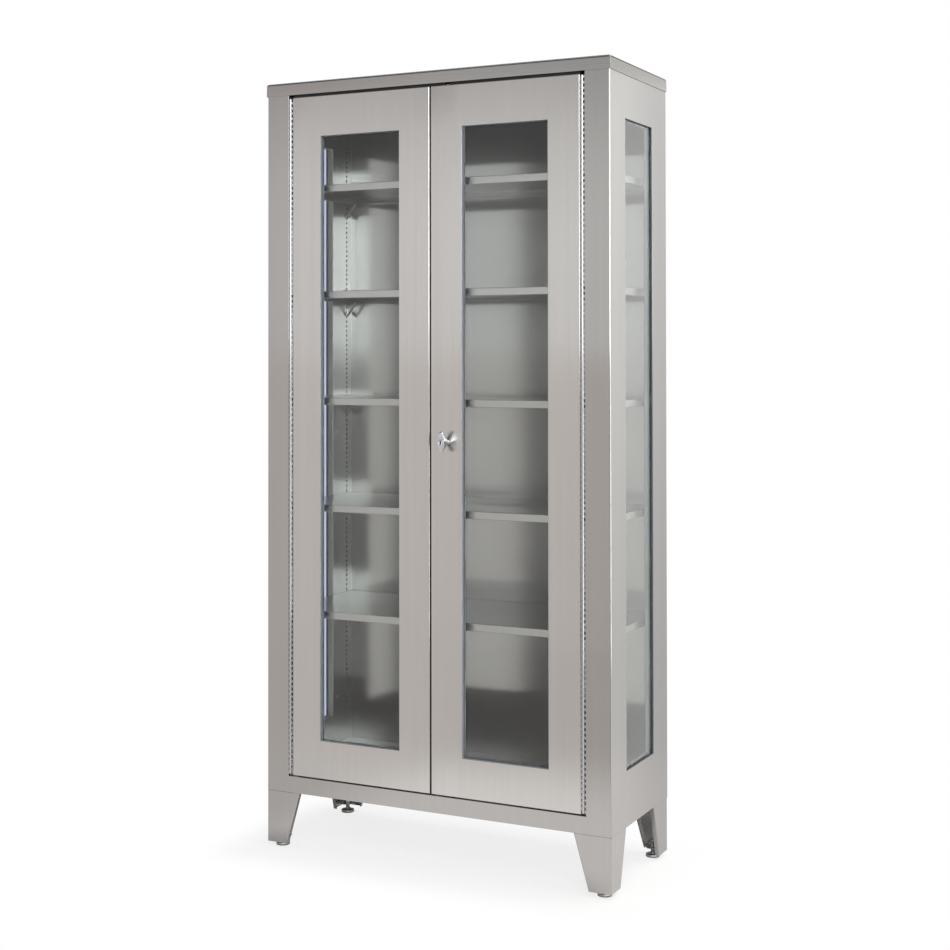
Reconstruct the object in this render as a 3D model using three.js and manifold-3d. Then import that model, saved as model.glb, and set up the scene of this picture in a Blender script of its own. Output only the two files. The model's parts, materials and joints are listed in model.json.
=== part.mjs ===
// Glass door medical cabinet: a two-door stainless cabinet with glass sides, five shelves and four legs.
// Millimetres, +Z up. The doors face -Y, and the origin is under the middle of the whole object.
import * as THREE from 'three';
import { mergeVertices } from 'three/addons/utils/BufferGeometryUtils.js';
import Module from 'manifold-3d';

const wasm = await Module();
wasm.setup();

// Cabinet body
const bodyWidth = 914;
const bodyDepth = 368;
const bodyHeight = 1748.5;
const sheet = 1.5;
const wallThickness = 25;
const postWidth = 62;
const postLap = 10;
const rearFlange = 30;
const railHeight = 40;
const deckRise = 54;

// Top cap and header
const capSkirt = 32;
const capFit = 0.5;
const stopLip = 18;

// Doors
const doorThickness = 20;
const doorMeetingGap = 4;
const doorTopGap = 6;
const doorBottomGap = 3;
const hingeGap = 12;
const stopGap = 2;
const linerFit = 0.25;

// Door windows: widths of the steel around each pane
const doorOuterStile = 79.5;
const doorInnerStile = 82;
const doorTopRail = 99;
const doorBottomRail = 92.5;

// Side windows: widths of the steel around each pane
const sideFrontStile = 94;
const sideRearStile = 96.5;
const sideTopRail = 130.5;
const sideBottomRail = 128;

// Glass
const doorGlassInset = 11;
const sideGlassInset = 5.5;
const doorGlass = 4;
const sideGlass = 5;
const glassLap = 12;

// Piano hinges
const knuckleRadius = 3;
const hingePinRadius = 1.5;
const hingePinFit = 0.4;
const knuckleLength = 80;
const knuckleGap = 0.4;
const hingeProud = 1;
const hingeEndInset = 4;
const leafSheet = 1.2;
const leafDepth = 14;
const leafSetback = 0.3;

// Handle, lock and latch
const handleInset = 42;
const handleHeight = 872;
const handleProjection = 32;
const handleLength = 51;
const handleWidth = 19.5;
const handleFaceEdge = 4;
const handleFlare = 23.5;
const handleFlarePower = 1.05;
const handleSeat = 0.3;
const stemRadius = 6;
const spindleRadius = 5;
const spindleFit = 0.5;
const plugRadius = 5.5;
const plugDepth = 7;
const plugFit = 0.3;
const plugProud = 0.5;
const keyWidth = 2.4;
const keyLength = 7.5;
const keyDepth = 5;
const camThickness = 4;
const camBaseRadius = 8;
const camFit = 0.25;
const camClearance = 1.2;
const rodRadius = 4;
const rodTipRadius = 1;
const rodTaper = 8;
const rodFit = 0.4;
const rodTravel = 12;
const rodRestProud = 2;
const rodSetback = 8;

// Legs and levelling feet
const legHeight = 127;
const legTopWidth = 92;
const legBottomWidth = 56;
const legInset = 1;
const legSheet = 2;
const legFlange = 70;
const legReturn = 10;
const footPlateRise = 12;
const footPlateWidth = 50;
const footPlateChamfer = 18;
const footInset = 28;
const footClearance = 12;
const footRadius = 17;
const footThickness = 8;
const footChamfer = 1.5;
const studRadius = 5;
const studFit = 0.5;
const studEnd = 6;
const nutRadius = 9.5;
const nutHeight = 8;

// Shelves and their clips
const shelfCount = 5;
const shelfLip = 18;
const shelfHem = 14;
const shelfSheet = 1.2;
const shelfFrontGap = 10;
const shelfBackGap = 2;
const shelfSideGap = 1.5;
const holePitch = 12.5;
const holeRadius = 2.8;
const holeInset = 24;
const lowestShelfShare = 0.255;
const shelfSpacingShare = 0.15;
const clipReach = 27;
const clipWidth = 12;
const clipSheet = 2;
const clipDropHoles = 3;
const clipTabWidth = 4;
const clipTabReach = 4;

// Facets on round pieces
const roundSides = 16;
const boreSides = 12;
const nutSides = 6;
const knuckleSides = 8;
const flareSteps = 5;
const camSteps = 36;

// Planes worked out from the sizes above
const halfWidth = bodyWidth / 2;
const bodyBottom = footClearance + legHeight;
const bodyTop = bodyBottom + bodyHeight;
const postEdge = halfWidth - postWidth;
const postDepth = doorThickness + stopGap;
const linerFace = halfWidth - wallThickness;
const backFace = bodyDepth - 2 * sheet;
const headerBottom = bodyTop + sheet - capSkirt;
const railTop = bodyBottom + railHeight;
const panFloor = bodyBottom + sheet;
const doorOuter = postEdge - hingeGap;
const doorInner = doorMeetingGap / 2;
const doorBottom = railTop + doorBottomGap;
const doorTop = headerBottom - doorTopGap;
const hingeX = postEdge - hingeGap / 2;
const hingeY = -hingeProud;
const handleX = doorInner + handleInset;
const handleZ = bodyBottom + handleHeight;
const camStart = rodSetback - camThickness / 2;
const camEnd = rodSetback + camThickness / 2;
const capReach = capFit + sheet;

// Windows as [low, high] pairs: distance from the middle plane or depth, then height
const doorWindow = {
  across: [doorInner + doorInnerStile, doorOuter - doorOuterStile],
  up: [doorBottom + doorBottomRail, doorTop - doorTopRail],
};
const sideWindow = {
  across: [sideFrontStile, bodyDepth - sideRearStile],
  up: [bodyBottom + sideBottomRail, bodyTop - sideTopRail],
};

// Clip holes: two columns on each side, and one level for each shelf
const holeColumns = { front: postDepth + holeInset, rear: backFace - holeInset };
const lowestShelf = Math.round(bodyHeight * lowestShelfShare);
const lowestHole = bodyBottom + lowestShelf - shelfLip - clipSheet / 2;
const shelfSpacing = Math.round((bodyHeight * shelfSpacingShare) / holePitch) * holePitch;
const clipDrop = clipDropHoles * holePitch;
const shelfLevels = Array.from(
  { length: shelfCount },
  (_, index) => lowestHole + (shelfCount - 1 - index) * shelfSpacing,
);

// Finishes
const finishes = {
  brushed: { color: 0xb4b2ad, roughness: 0.34, metalness: 1 },
  polished: { color: 0xc4c3bf, roughness: 0.22, metalness: 1 },
  chrome: { color: 0xdfe0e2, roughness: 0.08, metalness: 1 },
  zinc: { color: 0xa9abab, roughness: 0.4, metalness: 1 },
  glass: { color: 0xdfeee8, roughness: 0.03, metalness: 0, transparent: true, opacity: 0.25 },
};

// Solids: a closed geometry becomes a solid that can be joined and cut, and then a geometry again
function solid(geometry) {
  const bare = geometry.clone();
  bare.deleteAttribute('normal');
  bare.deleteAttribute('uv');
  const merged = mergeVertices(bare);
  const corners = merged.index.array;
  const triVerts = [];
  for (let i = 0; i < corners.length; i += 3) {
    const [a, b, c] = corners.slice(i, i + 3);
    if (a !== b && b !== c && c !== a) triVerts.push(a, b, c);
  }
  return new wasm.Manifold(new wasm.Mesh({
    numProp: 3,
    vertProperties: new Float32Array(merged.attributes.position.array),
    triVerts: new Uint32Array(triVerts),
  }));
}

function geometryOf(body) {
  const mesh = body.getMesh();
  const geometry = new THREE.BufferGeometry();
  geometry.setAttribute('position', new THREE.BufferAttribute(new Float32Array(mesh.vertProperties), 3));
  geometry.setIndex(new THREE.BufferAttribute(new Uint32Array(mesh.triVerts), 1));
  const faceted = geometry.toNonIndexed();
  faceted.computeVertexNormals();
  return faceted;
}

function box([x0, x1], [y0, y1], [z0, z1]) {
  const size = [Math.abs(x1 - x0), Math.abs(y1 - y0), Math.abs(z1 - z0)];
  const geometry = new THREE.BoxGeometry(...size);
  return solid(geometry.translate((x0 + x1) / 2, (y0 + y1) / 2, (z0 + z1) / 2));
}

// An outline pushed along an axis: (x, y) points along Z, (y, z) points along X, (x, z) points along Y
const pushAxes = {
  x: [new THREE.Vector3(0, 1, 0), new THREE.Vector3(0, 0, 1), new THREE.Vector3(1, 0, 0)],
  y: [new THREE.Vector3(1, 0, 0), new THREE.Vector3(0, 0, 1), new THREE.Vector3(0, -1, 0)],
  z: [new THREE.Vector3(1, 0, 0), new THREE.Vector3(0, 1, 0), new THREE.Vector3(0, 0, 1)],
};

function push(axis, outline, [start, end]) {
  const low = Math.min(start, end);
  const high = Math.max(start, end);
  const shape = new THREE.Shape(outline.map(([a, b]) => new THREE.Vector2(a, b)));
  const geometry = new THREE.ExtrudeGeometry(shape, { depth: high - low, bevelEnabled: false });
  const [right, up, out] = pushAxes[axis];
  geometry.applyMatrix4(new THREE.Matrix4().makeBasis(right, up, out));
  return solid(geometry.translate(...out.clone().multiplyScalar(axis === 'y' ? -high : low).toArray()));
}

// A turned piece: [radius, height] points from the axis out and back, spun about Z
function turn(profile, sides) {
  const points = profile.map(([radius, height]) => new THREE.Vector2(radius, height));
  return new THREE.LatheGeometry(points, sides).rotateX(Math.PI / 2);
}

function roundBar(radius, [low, high], sides) {
  return turn([[0, low], [radius, low], [radius, high], [0, high]], sides);
}

function barAlongZ(radius, x, y, reach, sides) {
  return solid(roundBar(radius, reach, sides).translate(x, y, 0));
}

function barAlongY(radius, x, z, reach, sides) {
  return solid(roundBar(radius, reach, sides).rotateX(-Math.PI / 2).translate(x, 0, z));
}

const rootGroup = new THREE.Group();

function addPiece(name, body, finish) {
  const mesh = new THREE.Mesh(geometryOf(body), new THREE.MeshStandardMaterial(finishes[finish]));
  mesh.name = name;
  rootGroup.add(mesh);
}

const sides = [['left', -1], ['right', 1]];
const across = (side, [near, far]) => [side * near, side * far];
const widen = ([low, high], margin) => [low - margin, high + margin];

// Top cap: a sheet with its skirt turned down outside the body
function topCap() {
  const outside = box(
    [-halfWidth - capReach, halfWidth + capReach],
    [-capReach, bodyDepth + capReach],
    [headerBottom, bodyTop + sheet],
  );
  const inside = box(
    [-halfWidth - capFit, halfWidth + capFit],
    [-capFit, bodyDepth + capFit],
    [headerBottom - sheet, bodyTop],
  );
  return outside.subtract(inside);
}

// A window in a side sheet, with its edge turned along X from one depth to another
function windowRing(side, depths) {
  const { across: y, up: z } = sideWindow;
  const rim = box(across(side, depths), widen(y, sheet), widen(z, sheet));
  return rim.subtract(sideOpening(side));
}

function sideOpening(side) {
  return box(across(side, [linerFace - sheet, halfWidth + sheet]), sideWindow.across, sideWindow.up);
}

// Side shell: skin, front post and rear flange bent from one sheet
function sideShell(side) {
  const plan = [
    [postEdge, 0],
    [halfWidth, 0],
    [halfWidth, bodyDepth],
    [halfWidth - rearFlange, bodyDepth],
    [halfWidth - rearFlange, bodyDepth - sheet],
    [halfWidth - sheet, bodyDepth - sheet],
    [halfWidth - sheet, sheet],
    [postEdge + sheet, sheet],
    [postEdge + sheet, postDepth - sheet],
    [linerFace + postLap, postDepth - sheet],
    [linerFace + postLap, postDepth],
    [postEdge, postDepth],
  ];
  const skin = push('z', plan.map(([x, y]) => [side * x, y]), [bodyBottom, bodyTop]);
  return skin.subtract(sideOpening(side)).add(windowRing(side, [halfWidth - sideGlassInset, halfWidth - sheet]));
}

// Side liner: the inner skin, with a window like the shell's and the holes that the clips hang in
function sideLiner(side) {
  const skin = box(across(side, [linerFace, linerFace + sheet]), [postDepth, backFace], [panFloor, bodyTop]);
  const ring = windowRing(side, [linerFace + sheet, halfWidth - sideGlassInset - sideGlass]);
  let liner = skin.subtract(sideOpening(side)).add(ring);
  const through = across(side, [linerFace - sheet, linerFace + 2 * sheet]);
  for (const y of Object.values(holeColumns)) {
    for (const level of shelfLevels) {
      for (const z of [level, level - clipDrop]) {
        const hole = Array.from({ length: knuckleSides }, (_, corner) => {
          const angle = (corner + 0.5) * 2 * Math.PI / knuckleSides;
          return [y + holeRadius * Math.cos(angle), z + holeRadius * Math.sin(angle)];
        });
        liner = liner.subtract(push('x', hole, through));
      }
    }
  }
  return liner;
}

function sidePane(side) {
  const outer = halfWidth - sideGlassInset;
  return box(
    across(side, [outer - sideGlass, outer]),
    widen(sideWindow.across, glassLap),
    widen(sideWindow.up, glassLap),
  );
}

function backPanel() {
  const reach = halfWidth - sheet;
  return box([-reach, reach], [backFace, bodyDepth - sheet], [bodyBottom, bodyTop]);
}

// Base pan: closes the body below, notched round the front posts
function basePan() {
  const reach = halfWidth - sheet;
  const outline = [
    [-postEdge, sheet],
    [postEdge, sheet],
    [postEdge, postDepth],
    [reach, postDepth],
    [reach, backFace],
    [-reach, backFace],
    [-reach, postDepth],
    [-postEdge, postDepth],
  ];
  return push('z', outline, [bodyBottom, panFloor]);
}

function rodHole(heights) {
  return barAlongZ(rodRadius + rodFit, handleX, rodSetback, heights, boreSides);
}

// Front rail: the face below the doors and its top edge, with the lower rod's hole
function frontRail() {
  const profile = [
    [0, bodyBottom],
    [sheet, bodyBottom],
    [sheet, railTop - sheet],
    [postDepth, railTop - sheet],
    [postDepth, railTop],
    [0, railTop],
  ];
  const hole = rodHole(widen([railTop - sheet, railTop], sheet));
  return push('x', profile, [-postEdge, postEdge]).subtract(hole);
}

// Header rail: behind the cap's skirt, with the stop lip behind the doors and the upper rod's hole
function headerRail() {
  const profile = [
    [0, bodyTop],
    [0, headerBottom],
    [postDepth, headerBottom],
    [postDepth, headerBottom - stopLip],
    [postDepth + sheet, headerBottom - stopLip],
    [postDepth + sheet, headerBottom + sheet],
    [sheet, headerBottom + sheet],
    [sheet, bodyTop],
  ];
  const hole = rodHole(widen([headerBottom, headerBottom + sheet], sheet));
  return push('x', profile, [-postEdge, postEdge]).subtract(hole);
}

// Deck: the cabinet's floor, an upside-down channel that stands on the base pan
function deck() {
  const deckTop = bodyBottom + deckRise;
  const profile = [
    [postDepth, panFloor],
    [postDepth + sheet, panFloor],
    [postDepth + sheet, deckTop - sheet],
    [backFace - sheet, deckTop - sheet],
    [backFace - sheet, panFloor],
    [backFace, panFloor],
    [backFace, deckTop],
    [postDepth, deckTop],
  ];
  return push('x', profile, [-linerFace, linerFace]);
}

function doorOpening(side) {
  return box(across(side, doorWindow.across), [-sheet, doorThickness + sheet], doorWindow.up);
}

function doorRing(side, depths) {
  const rim = box(across(side, widen(doorWindow.across, sheet)), depths, widen(doorWindow.up, sheet));
  return rim.subtract(doorOpening(side));
}

// Door pan: the face with its four edges and its window's edge turned in
function doorPan(side) {
  const outside = box(across(side, [doorInner, doorOuter]), [0, doorThickness], [doorBottom, doorTop]);
  const inside = box(
    across(side, [doorInner + sheet, doorOuter - sheet]),
    [sheet, doorThickness + sheet],
    [doorBottom + sheet, doorTop - sheet],
  );
  const ring = doorRing(side, [sheet, doorGlassInset]);
  return outside.subtract(inside).subtract(doorOpening(side)).add(ring);
}

// The latched door's pan also has the holes for the spindle and the two rods
function latchedDoorPan(side) {
  const spindleHole = barAlongY(spindleRadius + spindleFit, handleX, handleZ, [-sheet, 2 * sheet], boreSides);
  return doorPan(side)
    .subtract(spindleHole)
    .subtract(rodHole(widen([doorTop - sheet, doorTop], sheet)))
    .subtract(rodHole(widen([doorBottom, doorBottom + sheet], sheet)));
}

// Door liner: the inside sheet, whose window edge holds the pane
function doorLiner(side) {
  const inset = sheet + linerFit;
  const skin = box(
    across(side, [doorInner + inset, doorOuter - inset]),
    [doorThickness - sheet, doorThickness],
    [doorBottom + inset, doorTop - inset],
  );
  const ring = doorRing(side, [doorGlassInset + doorGlass, doorThickness - sheet]);
  return skin.subtract(doorOpening(side)).add(ring);
}

function doorPane(side) {
  return box(
    across(side, widen(doorWindow.across, glassLap)),
    [doorGlassInset, doorGlassInset + doorGlass],
    widen(doorWindow.up, glassLap),
  );
}

// Piano hinge: knuckles along the door's edge, turn about with the frame leaf first and last
const hingeReach = [doorBottom + hingeEndInset, doorTop - hingeEndInset];
const hingeLength = hingeReach[1] - hingeReach[0];
const knuckleCount = 2 * Math.max(1, Math.floor(hingeLength / knuckleLength / 2)) + 1;
const knucklePitch = hingeLength / knuckleCount;

function knuckles(side, first, seat) {
  const pieces = [];
  const leafSide = Math.sign(seat - hingeX);
  const web = [hingeX + leafSide * (knuckleRadius + hingePinRadius) / 2, seat];
  for (let index = first; index < knuckleCount; index += 2) {
    const low = hingeReach[0] + index * knucklePitch;
    const reach = [low + knuckleGap / 2, low + knucklePitch - knuckleGap / 2];
    pieces.push(barAlongZ(knuckleRadius, side * hingeX, hingeY, reach, knuckleSides));
    pieces.push(box(across(side, web), [hingeY - leafSheet / 2, hingeY + leafSheet / 2], reach));
    const foot = [seat - leafSide * leafSheet, seat];
    pieces.push(box(across(side, foot), [hingeY - leafSheet / 2, leafSetback + leafSheet], reach));
  }
  return pieces;
}

function leaf(side, seat) {
  const leafSide = Math.sign(seat - hingeX);
  const thickness = across(side, [seat - leafSide * leafSheet, seat]);
  return box(thickness, [leafSetback, leafSetback + leafDepth], hingeReach);
}

const join = (pieces) => pieces.reduce((whole, piece) => whole.add(piece));

// The frame leaf carries the pin, which is staked in its own knuckles
function frameLeaf(side) {
  const pin = barAlongZ(hingePinRadius, side * hingeX, hingeY, hingeReach, knuckleSides);
  return join([leaf(side, postEdge), ...knuckles(side, 0, postEdge), pin]);
}

function doorLeaf(side) {
  const boreRadius = hingePinRadius + hingePinFit;
  const bore = barAlongZ(boreRadius, side * hingeX, hingeY, widen(hingeReach, sheet), knuckleSides);
  return join([leaf(side, doorOuter), ...knuckles(side, 1, doorOuter)]).subtract(bore);
}

// Handle: an oblong face that flares out of a round stem, with the spindle behind it
function handle() {
  const tip = handleLength / 2;
  const profile = [[0, 0], [tip, 0]];
  for (let step = 0; step <= flareSteps; step += 1) {
    const share = step / flareSteps;
    const reach = stemRadius + (tip - stemRadius) * (1 - share) ** handleFlarePower;
    profile.push([reach, handleFaceEdge + handleFlare * share]);
  }
  profile.push([0, handleFaceEdge + handleFlare]);
  const wings = turn(profile, 2 * roundSides).scale(handleWidth / handleLength, 1, 1).rotateX(-Math.PI / 2);
  const face = solid(wings.translate(handleX, -handleProjection, handleZ));
  const stem = barAlongY(stemRadius, handleX, handleZ, [plugSeat(), -handleSeat], roundSides);
  const spindle = barAlongY(spindleRadius, handleX, handleZ, [-stemRadius, camEnd], boreSides);
  const boreReach = [-handleProjection - sheet, plugSeat()];
  const bore = barAlongY(plugRadius + plugFit, handleX, handleZ, boreReach, roundSides);
  return face.subtract(bore).add(stem).add(spindle);
}

function plugSeat() {
  return -handleProjection + plugDepth;
}

function lockPlug() {
  const front = -handleProjection - plugProud;
  const plug = barAlongY(plugRadius, handleX, handleZ, [front, plugSeat()], roundSides);
  const slot = box(
    [handleX - keyWidth / 2, handleX + keyWidth / 2],
    [front - sheet, front + keyDepth],
    [handleZ - keyLength / 2, handleZ + keyLength / 2],
  );
  return plug.subtract(slot);
}

// Latch cam: two lobes that lift the rods steadily over a quarter turn, and fall away behind
function latchCam() {
  const outline = Array.from({ length: camSteps }, (_, step) => {
    const quarters = 4 * step / camSteps;
    const lobe = quarters % 2;
    const rise = lobe <= 1 ? lobe : Math.max(0, 1 - 2 * (lobe - 1));
    const radius = camBaseRadius + rodTravel * rise;
    const angle = quarters * Math.PI / 2;
    return [handleX - radius * Math.sin(angle), handleZ + radius * Math.cos(angle)];
  });
  const boreReach = widen([camStart, camEnd], sheet);
  const bore = barAlongY(spindleRadius + camFit, handleX, handleZ, boreReach, boreSides);
  return push('y', outline, [camStart, camEnd]).subtract(bore);
}

// Latch rods: pointed at the cam, and through the holes in the door's ends
function latchRod(direction) {
  const inner = camBaseRadius + camClearance;
  const outer = direction > 0 ? doorTop - handleZ + rodRestProud : handleZ - doorBottom + rodRestProud;
  const profile = [
    [0, inner],
    [rodTipRadius, inner],
    [rodRadius, inner + rodTaper],
    [rodRadius, outer],
    [0, outer],
  ];
  const rod = turn(profile, boreSides).rotateX(direction > 0 ? 0 : Math.PI);
  return solid(rod.translate(handleX, rodSetback, handleZ));
}

// A corner of the body: distances in from the side and from the front or the back
const corners = [
  ['front_left', -1, false],
  ['front_right', 1, false],
  ['rear_left', -1, true],
  ['rear_right', 1, true],
];
const inFromSide = (side, distance) => side * (halfWidth - distance);
const inFromEnd = (rear, distance) => (rear ? bodyDepth - distance : distance);

// Leg: tapered angle with returned edges, a flange under the body and a foot plate with a weld nut
function leg(side, rear) {
  const x = (distance) => inFromSide(side, legInset + distance);
  const y = (distance) => inFromEnd(rear, legInset + distance);
  const plateLow = footClearance + footPlateRise;
  const plateHigh = plateLow + legSheet;
  const taper = (place, low, high) => [
    [place(low), footClearance],
    [place(legBottomWidth), footClearance],
    [place(legTopWidth), bodyBottom],
    [place(high), bodyBottom],
  ];
  const lip = (place) => taper(place, legBottomWidth - legSheet, legTopWidth - legSheet);
  const plate = [
    [x(0), y(0)],
    [x(footPlateWidth), y(0)],
    [x(footPlateWidth), y(footPlateWidth - footPlateChamfer)],
    [x(footPlateWidth - footPlateChamfer), y(footPlateWidth)],
    [x(0), y(footPlateWidth)],
  ];
  const nutPlace = [inFromSide(side, footInset), inFromEnd(rear, footInset)];
  const nutReach = [plateLow, plateHigh + nutHeight];
  const thread = barAlongZ(studRadius + studFit, ...nutPlace, widen(nutReach, sheet), boreSides);
  return join([
    push('y', taper(x, 0, 0), [y(0), y(legSheet)]),
    push('x', taper(y, 0, 0), [x(0), x(legSheet)]),
    push('y', lip(x), [y(0), y(legReturn)]),
    push('x', lip(y), [x(0), x(legReturn)]),
    box([x(0), x(legFlange)], [y(0), y(legFlange)], [bodyBottom - legSheet, bodyBottom]),
    push('z', plate, [plateLow, plateHigh]),
    barAlongZ(nutRadius, ...nutPlace, nutReach, nutSides),
  ]).subtract(thread);
}

// Levelling foot: a disc on a stud that passes up through the nut
function levellingFoot(side, rear) {
  const studTop = footClearance + footPlateRise + legSheet + nutHeight + studEnd;
  const profile = [
    [0, 0],
    [footRadius, 0],
    [footRadius, footThickness - footChamfer],
    [footRadius - footChamfer, footThickness],
    [studRadius, footThickness],
    [studRadius, studTop],
    [0, studTop],
  ];
  const place = [inFromSide(side, footInset), inFromEnd(rear, footInset), 0];
  return solid(turn(profile, boreSides).translate(...place));
}

// Shelf: an upside-down tray whose lip has a hem turned in all round
function shelf(level) {
  const low = level + clipSheet / 2;
  const reach = linerFace - shelfSideGap;
  const x = [-reach, reach];
  const y = [postDepth + shelfFrontGap, backFace - shelfBackGap];
  const inside = [low + shelfSheet, low + shelfLip - shelfSheet];
  return box(x, y, [low, low + shelfLip])
    .subtract(box(widen(x, -shelfSheet), widen(y, -shelfSheet), inside))
    .subtract(box(widen(x, -shelfHem), widen(y, -shelfHem), [low - shelfSheet, inside[1]]));
}

// Shelf clip: a strip bent to a ledge and a strut, with a tab in the hole at each end
function shelfClip(side, y, level) {
  const half = clipSheet / 2;
  const strutLow = level - clipDrop - half;
  const out = (distance) => side * (linerFace - distance);
  const bend = [
    [out(0), level + half],
    [out(clipReach), level + half],
    [out(clipReach), level - half],
    [out(half), strutLow],
    [out(0), strutLow],
    [out(0), strutLow + clipSheet],
    [out(clipReach - clipSheet - half), level - half],
    [out(0), level - half],
  ];
  const tabs = [level, level - clipDrop].map((z) => box(
    [out(-clipTabReach), out(half)],
    [y - clipTabWidth / 2, y + clipTabWidth / 2],
    [z - half, z + half],
  ));
  return join([push('y', bend, [y - clipWidth / 2, y + clipWidth / 2]), ...tabs]);
}

// Assembly
addPiece('top_cap', topCap(), 'brushed');
addPiece('back_panel', backPanel(), 'polished');
addPiece('base_pan', basePan(), 'brushed');
addPiece('front_rail', frontRail(), 'brushed');
addPiece('header_rail', headerRail(), 'brushed');
addPiece('bottom_deck', deck(), 'polished');
for (const [name, side] of sides) {
  addPiece(`${name}_side_shell`, sideShell(side), 'brushed');
  addPiece(`${name}_side_liner`, sideLiner(side), 'polished');
  addPiece(`${name}_side_glass`, sidePane(side), 'glass');
  addPiece(`${name}_door_pan`, side > 0 ? latchedDoorPan(side) : doorPan(side), 'brushed');
  addPiece(`${name}_door_liner`, doorLiner(side), 'brushed');
  addPiece(`${name}_door_glass`, doorPane(side), 'glass');
  addPiece(`${name}_hinge_frame_leaf`, frameLeaf(side), 'polished');
  addPiece(`${name}_hinge_door_leaf`, doorLeaf(side), 'polished');
}
addPiece('handle', handle(), 'chrome');
addPiece('lock_plug', lockPlug(), 'chrome');
addPiece('latch_cam', latchCam(), 'zinc');
addPiece('upper_latch_rod', latchRod(1), 'zinc');
addPiece('lower_latch_rod', latchRod(-1), 'zinc');
for (const [name, side, rear] of corners) {
  addPiece(`${name}_leg`, leg(side, rear), 'brushed');
  addPiece(`${name}_foot`, levellingFoot(side, rear), 'zinc');
}
shelfLevels.forEach((level, index) => {
  addPiece(`shelf_${index + 1}`, shelf(level), 'polished');
  for (const [name, side] of sides) {
    for (const [column, y] of Object.entries(holeColumns)) {
      addPiece(`shelf_${index + 1}_clip_${column}_${name}`, shelfClip(side, y, level), 'polished');
    }
  }
});

// The origin lies under the middle of the whole object, from the lock's face to the cap's rear edge
rootGroup.position.y = (handleProjection + plugProud - bodyDepth - capReach) / 2;

export default rootGroup;
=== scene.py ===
"""Looks of a glass door medical cabinet, built around its packed solids."""
import json
import math
from itertools import product

import bmesh
import bpy
from bpy.props import FloatProperty, FloatVectorProperty, IntProperty, PointerProperty
from bpy.types import Operator, Panel, PropertyGroup
from mathutils import Matrix, Vector


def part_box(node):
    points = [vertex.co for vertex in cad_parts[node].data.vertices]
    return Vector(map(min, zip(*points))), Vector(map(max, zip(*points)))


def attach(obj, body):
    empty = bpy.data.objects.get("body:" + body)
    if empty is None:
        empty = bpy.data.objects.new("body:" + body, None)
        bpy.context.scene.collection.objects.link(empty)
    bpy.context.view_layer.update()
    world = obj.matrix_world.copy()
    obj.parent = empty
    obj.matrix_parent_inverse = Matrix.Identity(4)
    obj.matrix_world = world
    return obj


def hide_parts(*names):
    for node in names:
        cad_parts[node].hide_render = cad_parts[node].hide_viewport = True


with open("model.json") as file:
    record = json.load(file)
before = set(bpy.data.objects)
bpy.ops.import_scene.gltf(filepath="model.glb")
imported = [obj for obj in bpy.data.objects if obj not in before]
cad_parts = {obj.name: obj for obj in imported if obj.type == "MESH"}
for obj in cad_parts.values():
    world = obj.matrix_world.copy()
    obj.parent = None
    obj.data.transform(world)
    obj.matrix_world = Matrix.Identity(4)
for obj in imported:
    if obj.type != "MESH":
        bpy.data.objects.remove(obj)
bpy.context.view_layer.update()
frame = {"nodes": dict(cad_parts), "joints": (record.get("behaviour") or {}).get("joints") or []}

bl_info = {
    "name": "Glass door medical cabinet",
    "version": (1, 0, 0),
    "blender": (4, 5, 0),
    "location": "View3D > Sidebar > Cabinet",
    "description": "Dresses a steel cabinet with glass doors and sides, shelves and levelling feet",
    "category": "Object",
}

SIDES = (("left", -1), ("right", 1))
ENDS = ("front", "rear")
CORNERS = tuple((f"{end}_{side}", sign, end == "rear") for end in ENDS for side, sign in SIDES)
SHELVES = tuple(range(1, 6))

# Places read from the packed solids, in metres
SHELL_LOW, SHELL_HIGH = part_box("right_side_shell")
DOOR_LOW, DOOR_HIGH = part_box("right_door_pan")
DOOR_PANE_LOW, DOOR_PANE_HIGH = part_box("right_door_glass")
SIDE_PANE_LOW, SIDE_PANE_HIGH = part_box("right_side_glass")
LINER_LOW, LINER_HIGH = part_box("right_side_liner")
HALF_WIDTH = SHELL_HIGH.x
FRONT, REAR = SHELL_LOW.y, SHELL_HIGH.y
BODY_LOW, BODY_HIGH = SHELL_LOW.z, SHELL_HIGH.z
POST_EDGE = SHELL_LOW.x
LINER_FACE = LINER_LOW.x
POST_BACK = LINER_LOW.y


def size(name, text, default):
    """A length that a user may change."""
    return FloatProperty(name=name, description=text, default=default, unit="LENGTH", precision=4)


def angle(name, text, default):
    """An angle that a user may change."""
    return FloatProperty(name=name, description=text, default=default, subtype="ANGLE")


def whole(name, text, default, least):
    """A whole number that a user may change."""
    return IntProperty(name=name, description=text, default=default, min=least)


def colour(name, text, default, top=1.0):
    """A colour that a user may change."""
    return FloatVectorProperty(
        name=name, description=text, default=default, subtype="COLOR", size=3, min=0, max=top
    )


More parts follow.
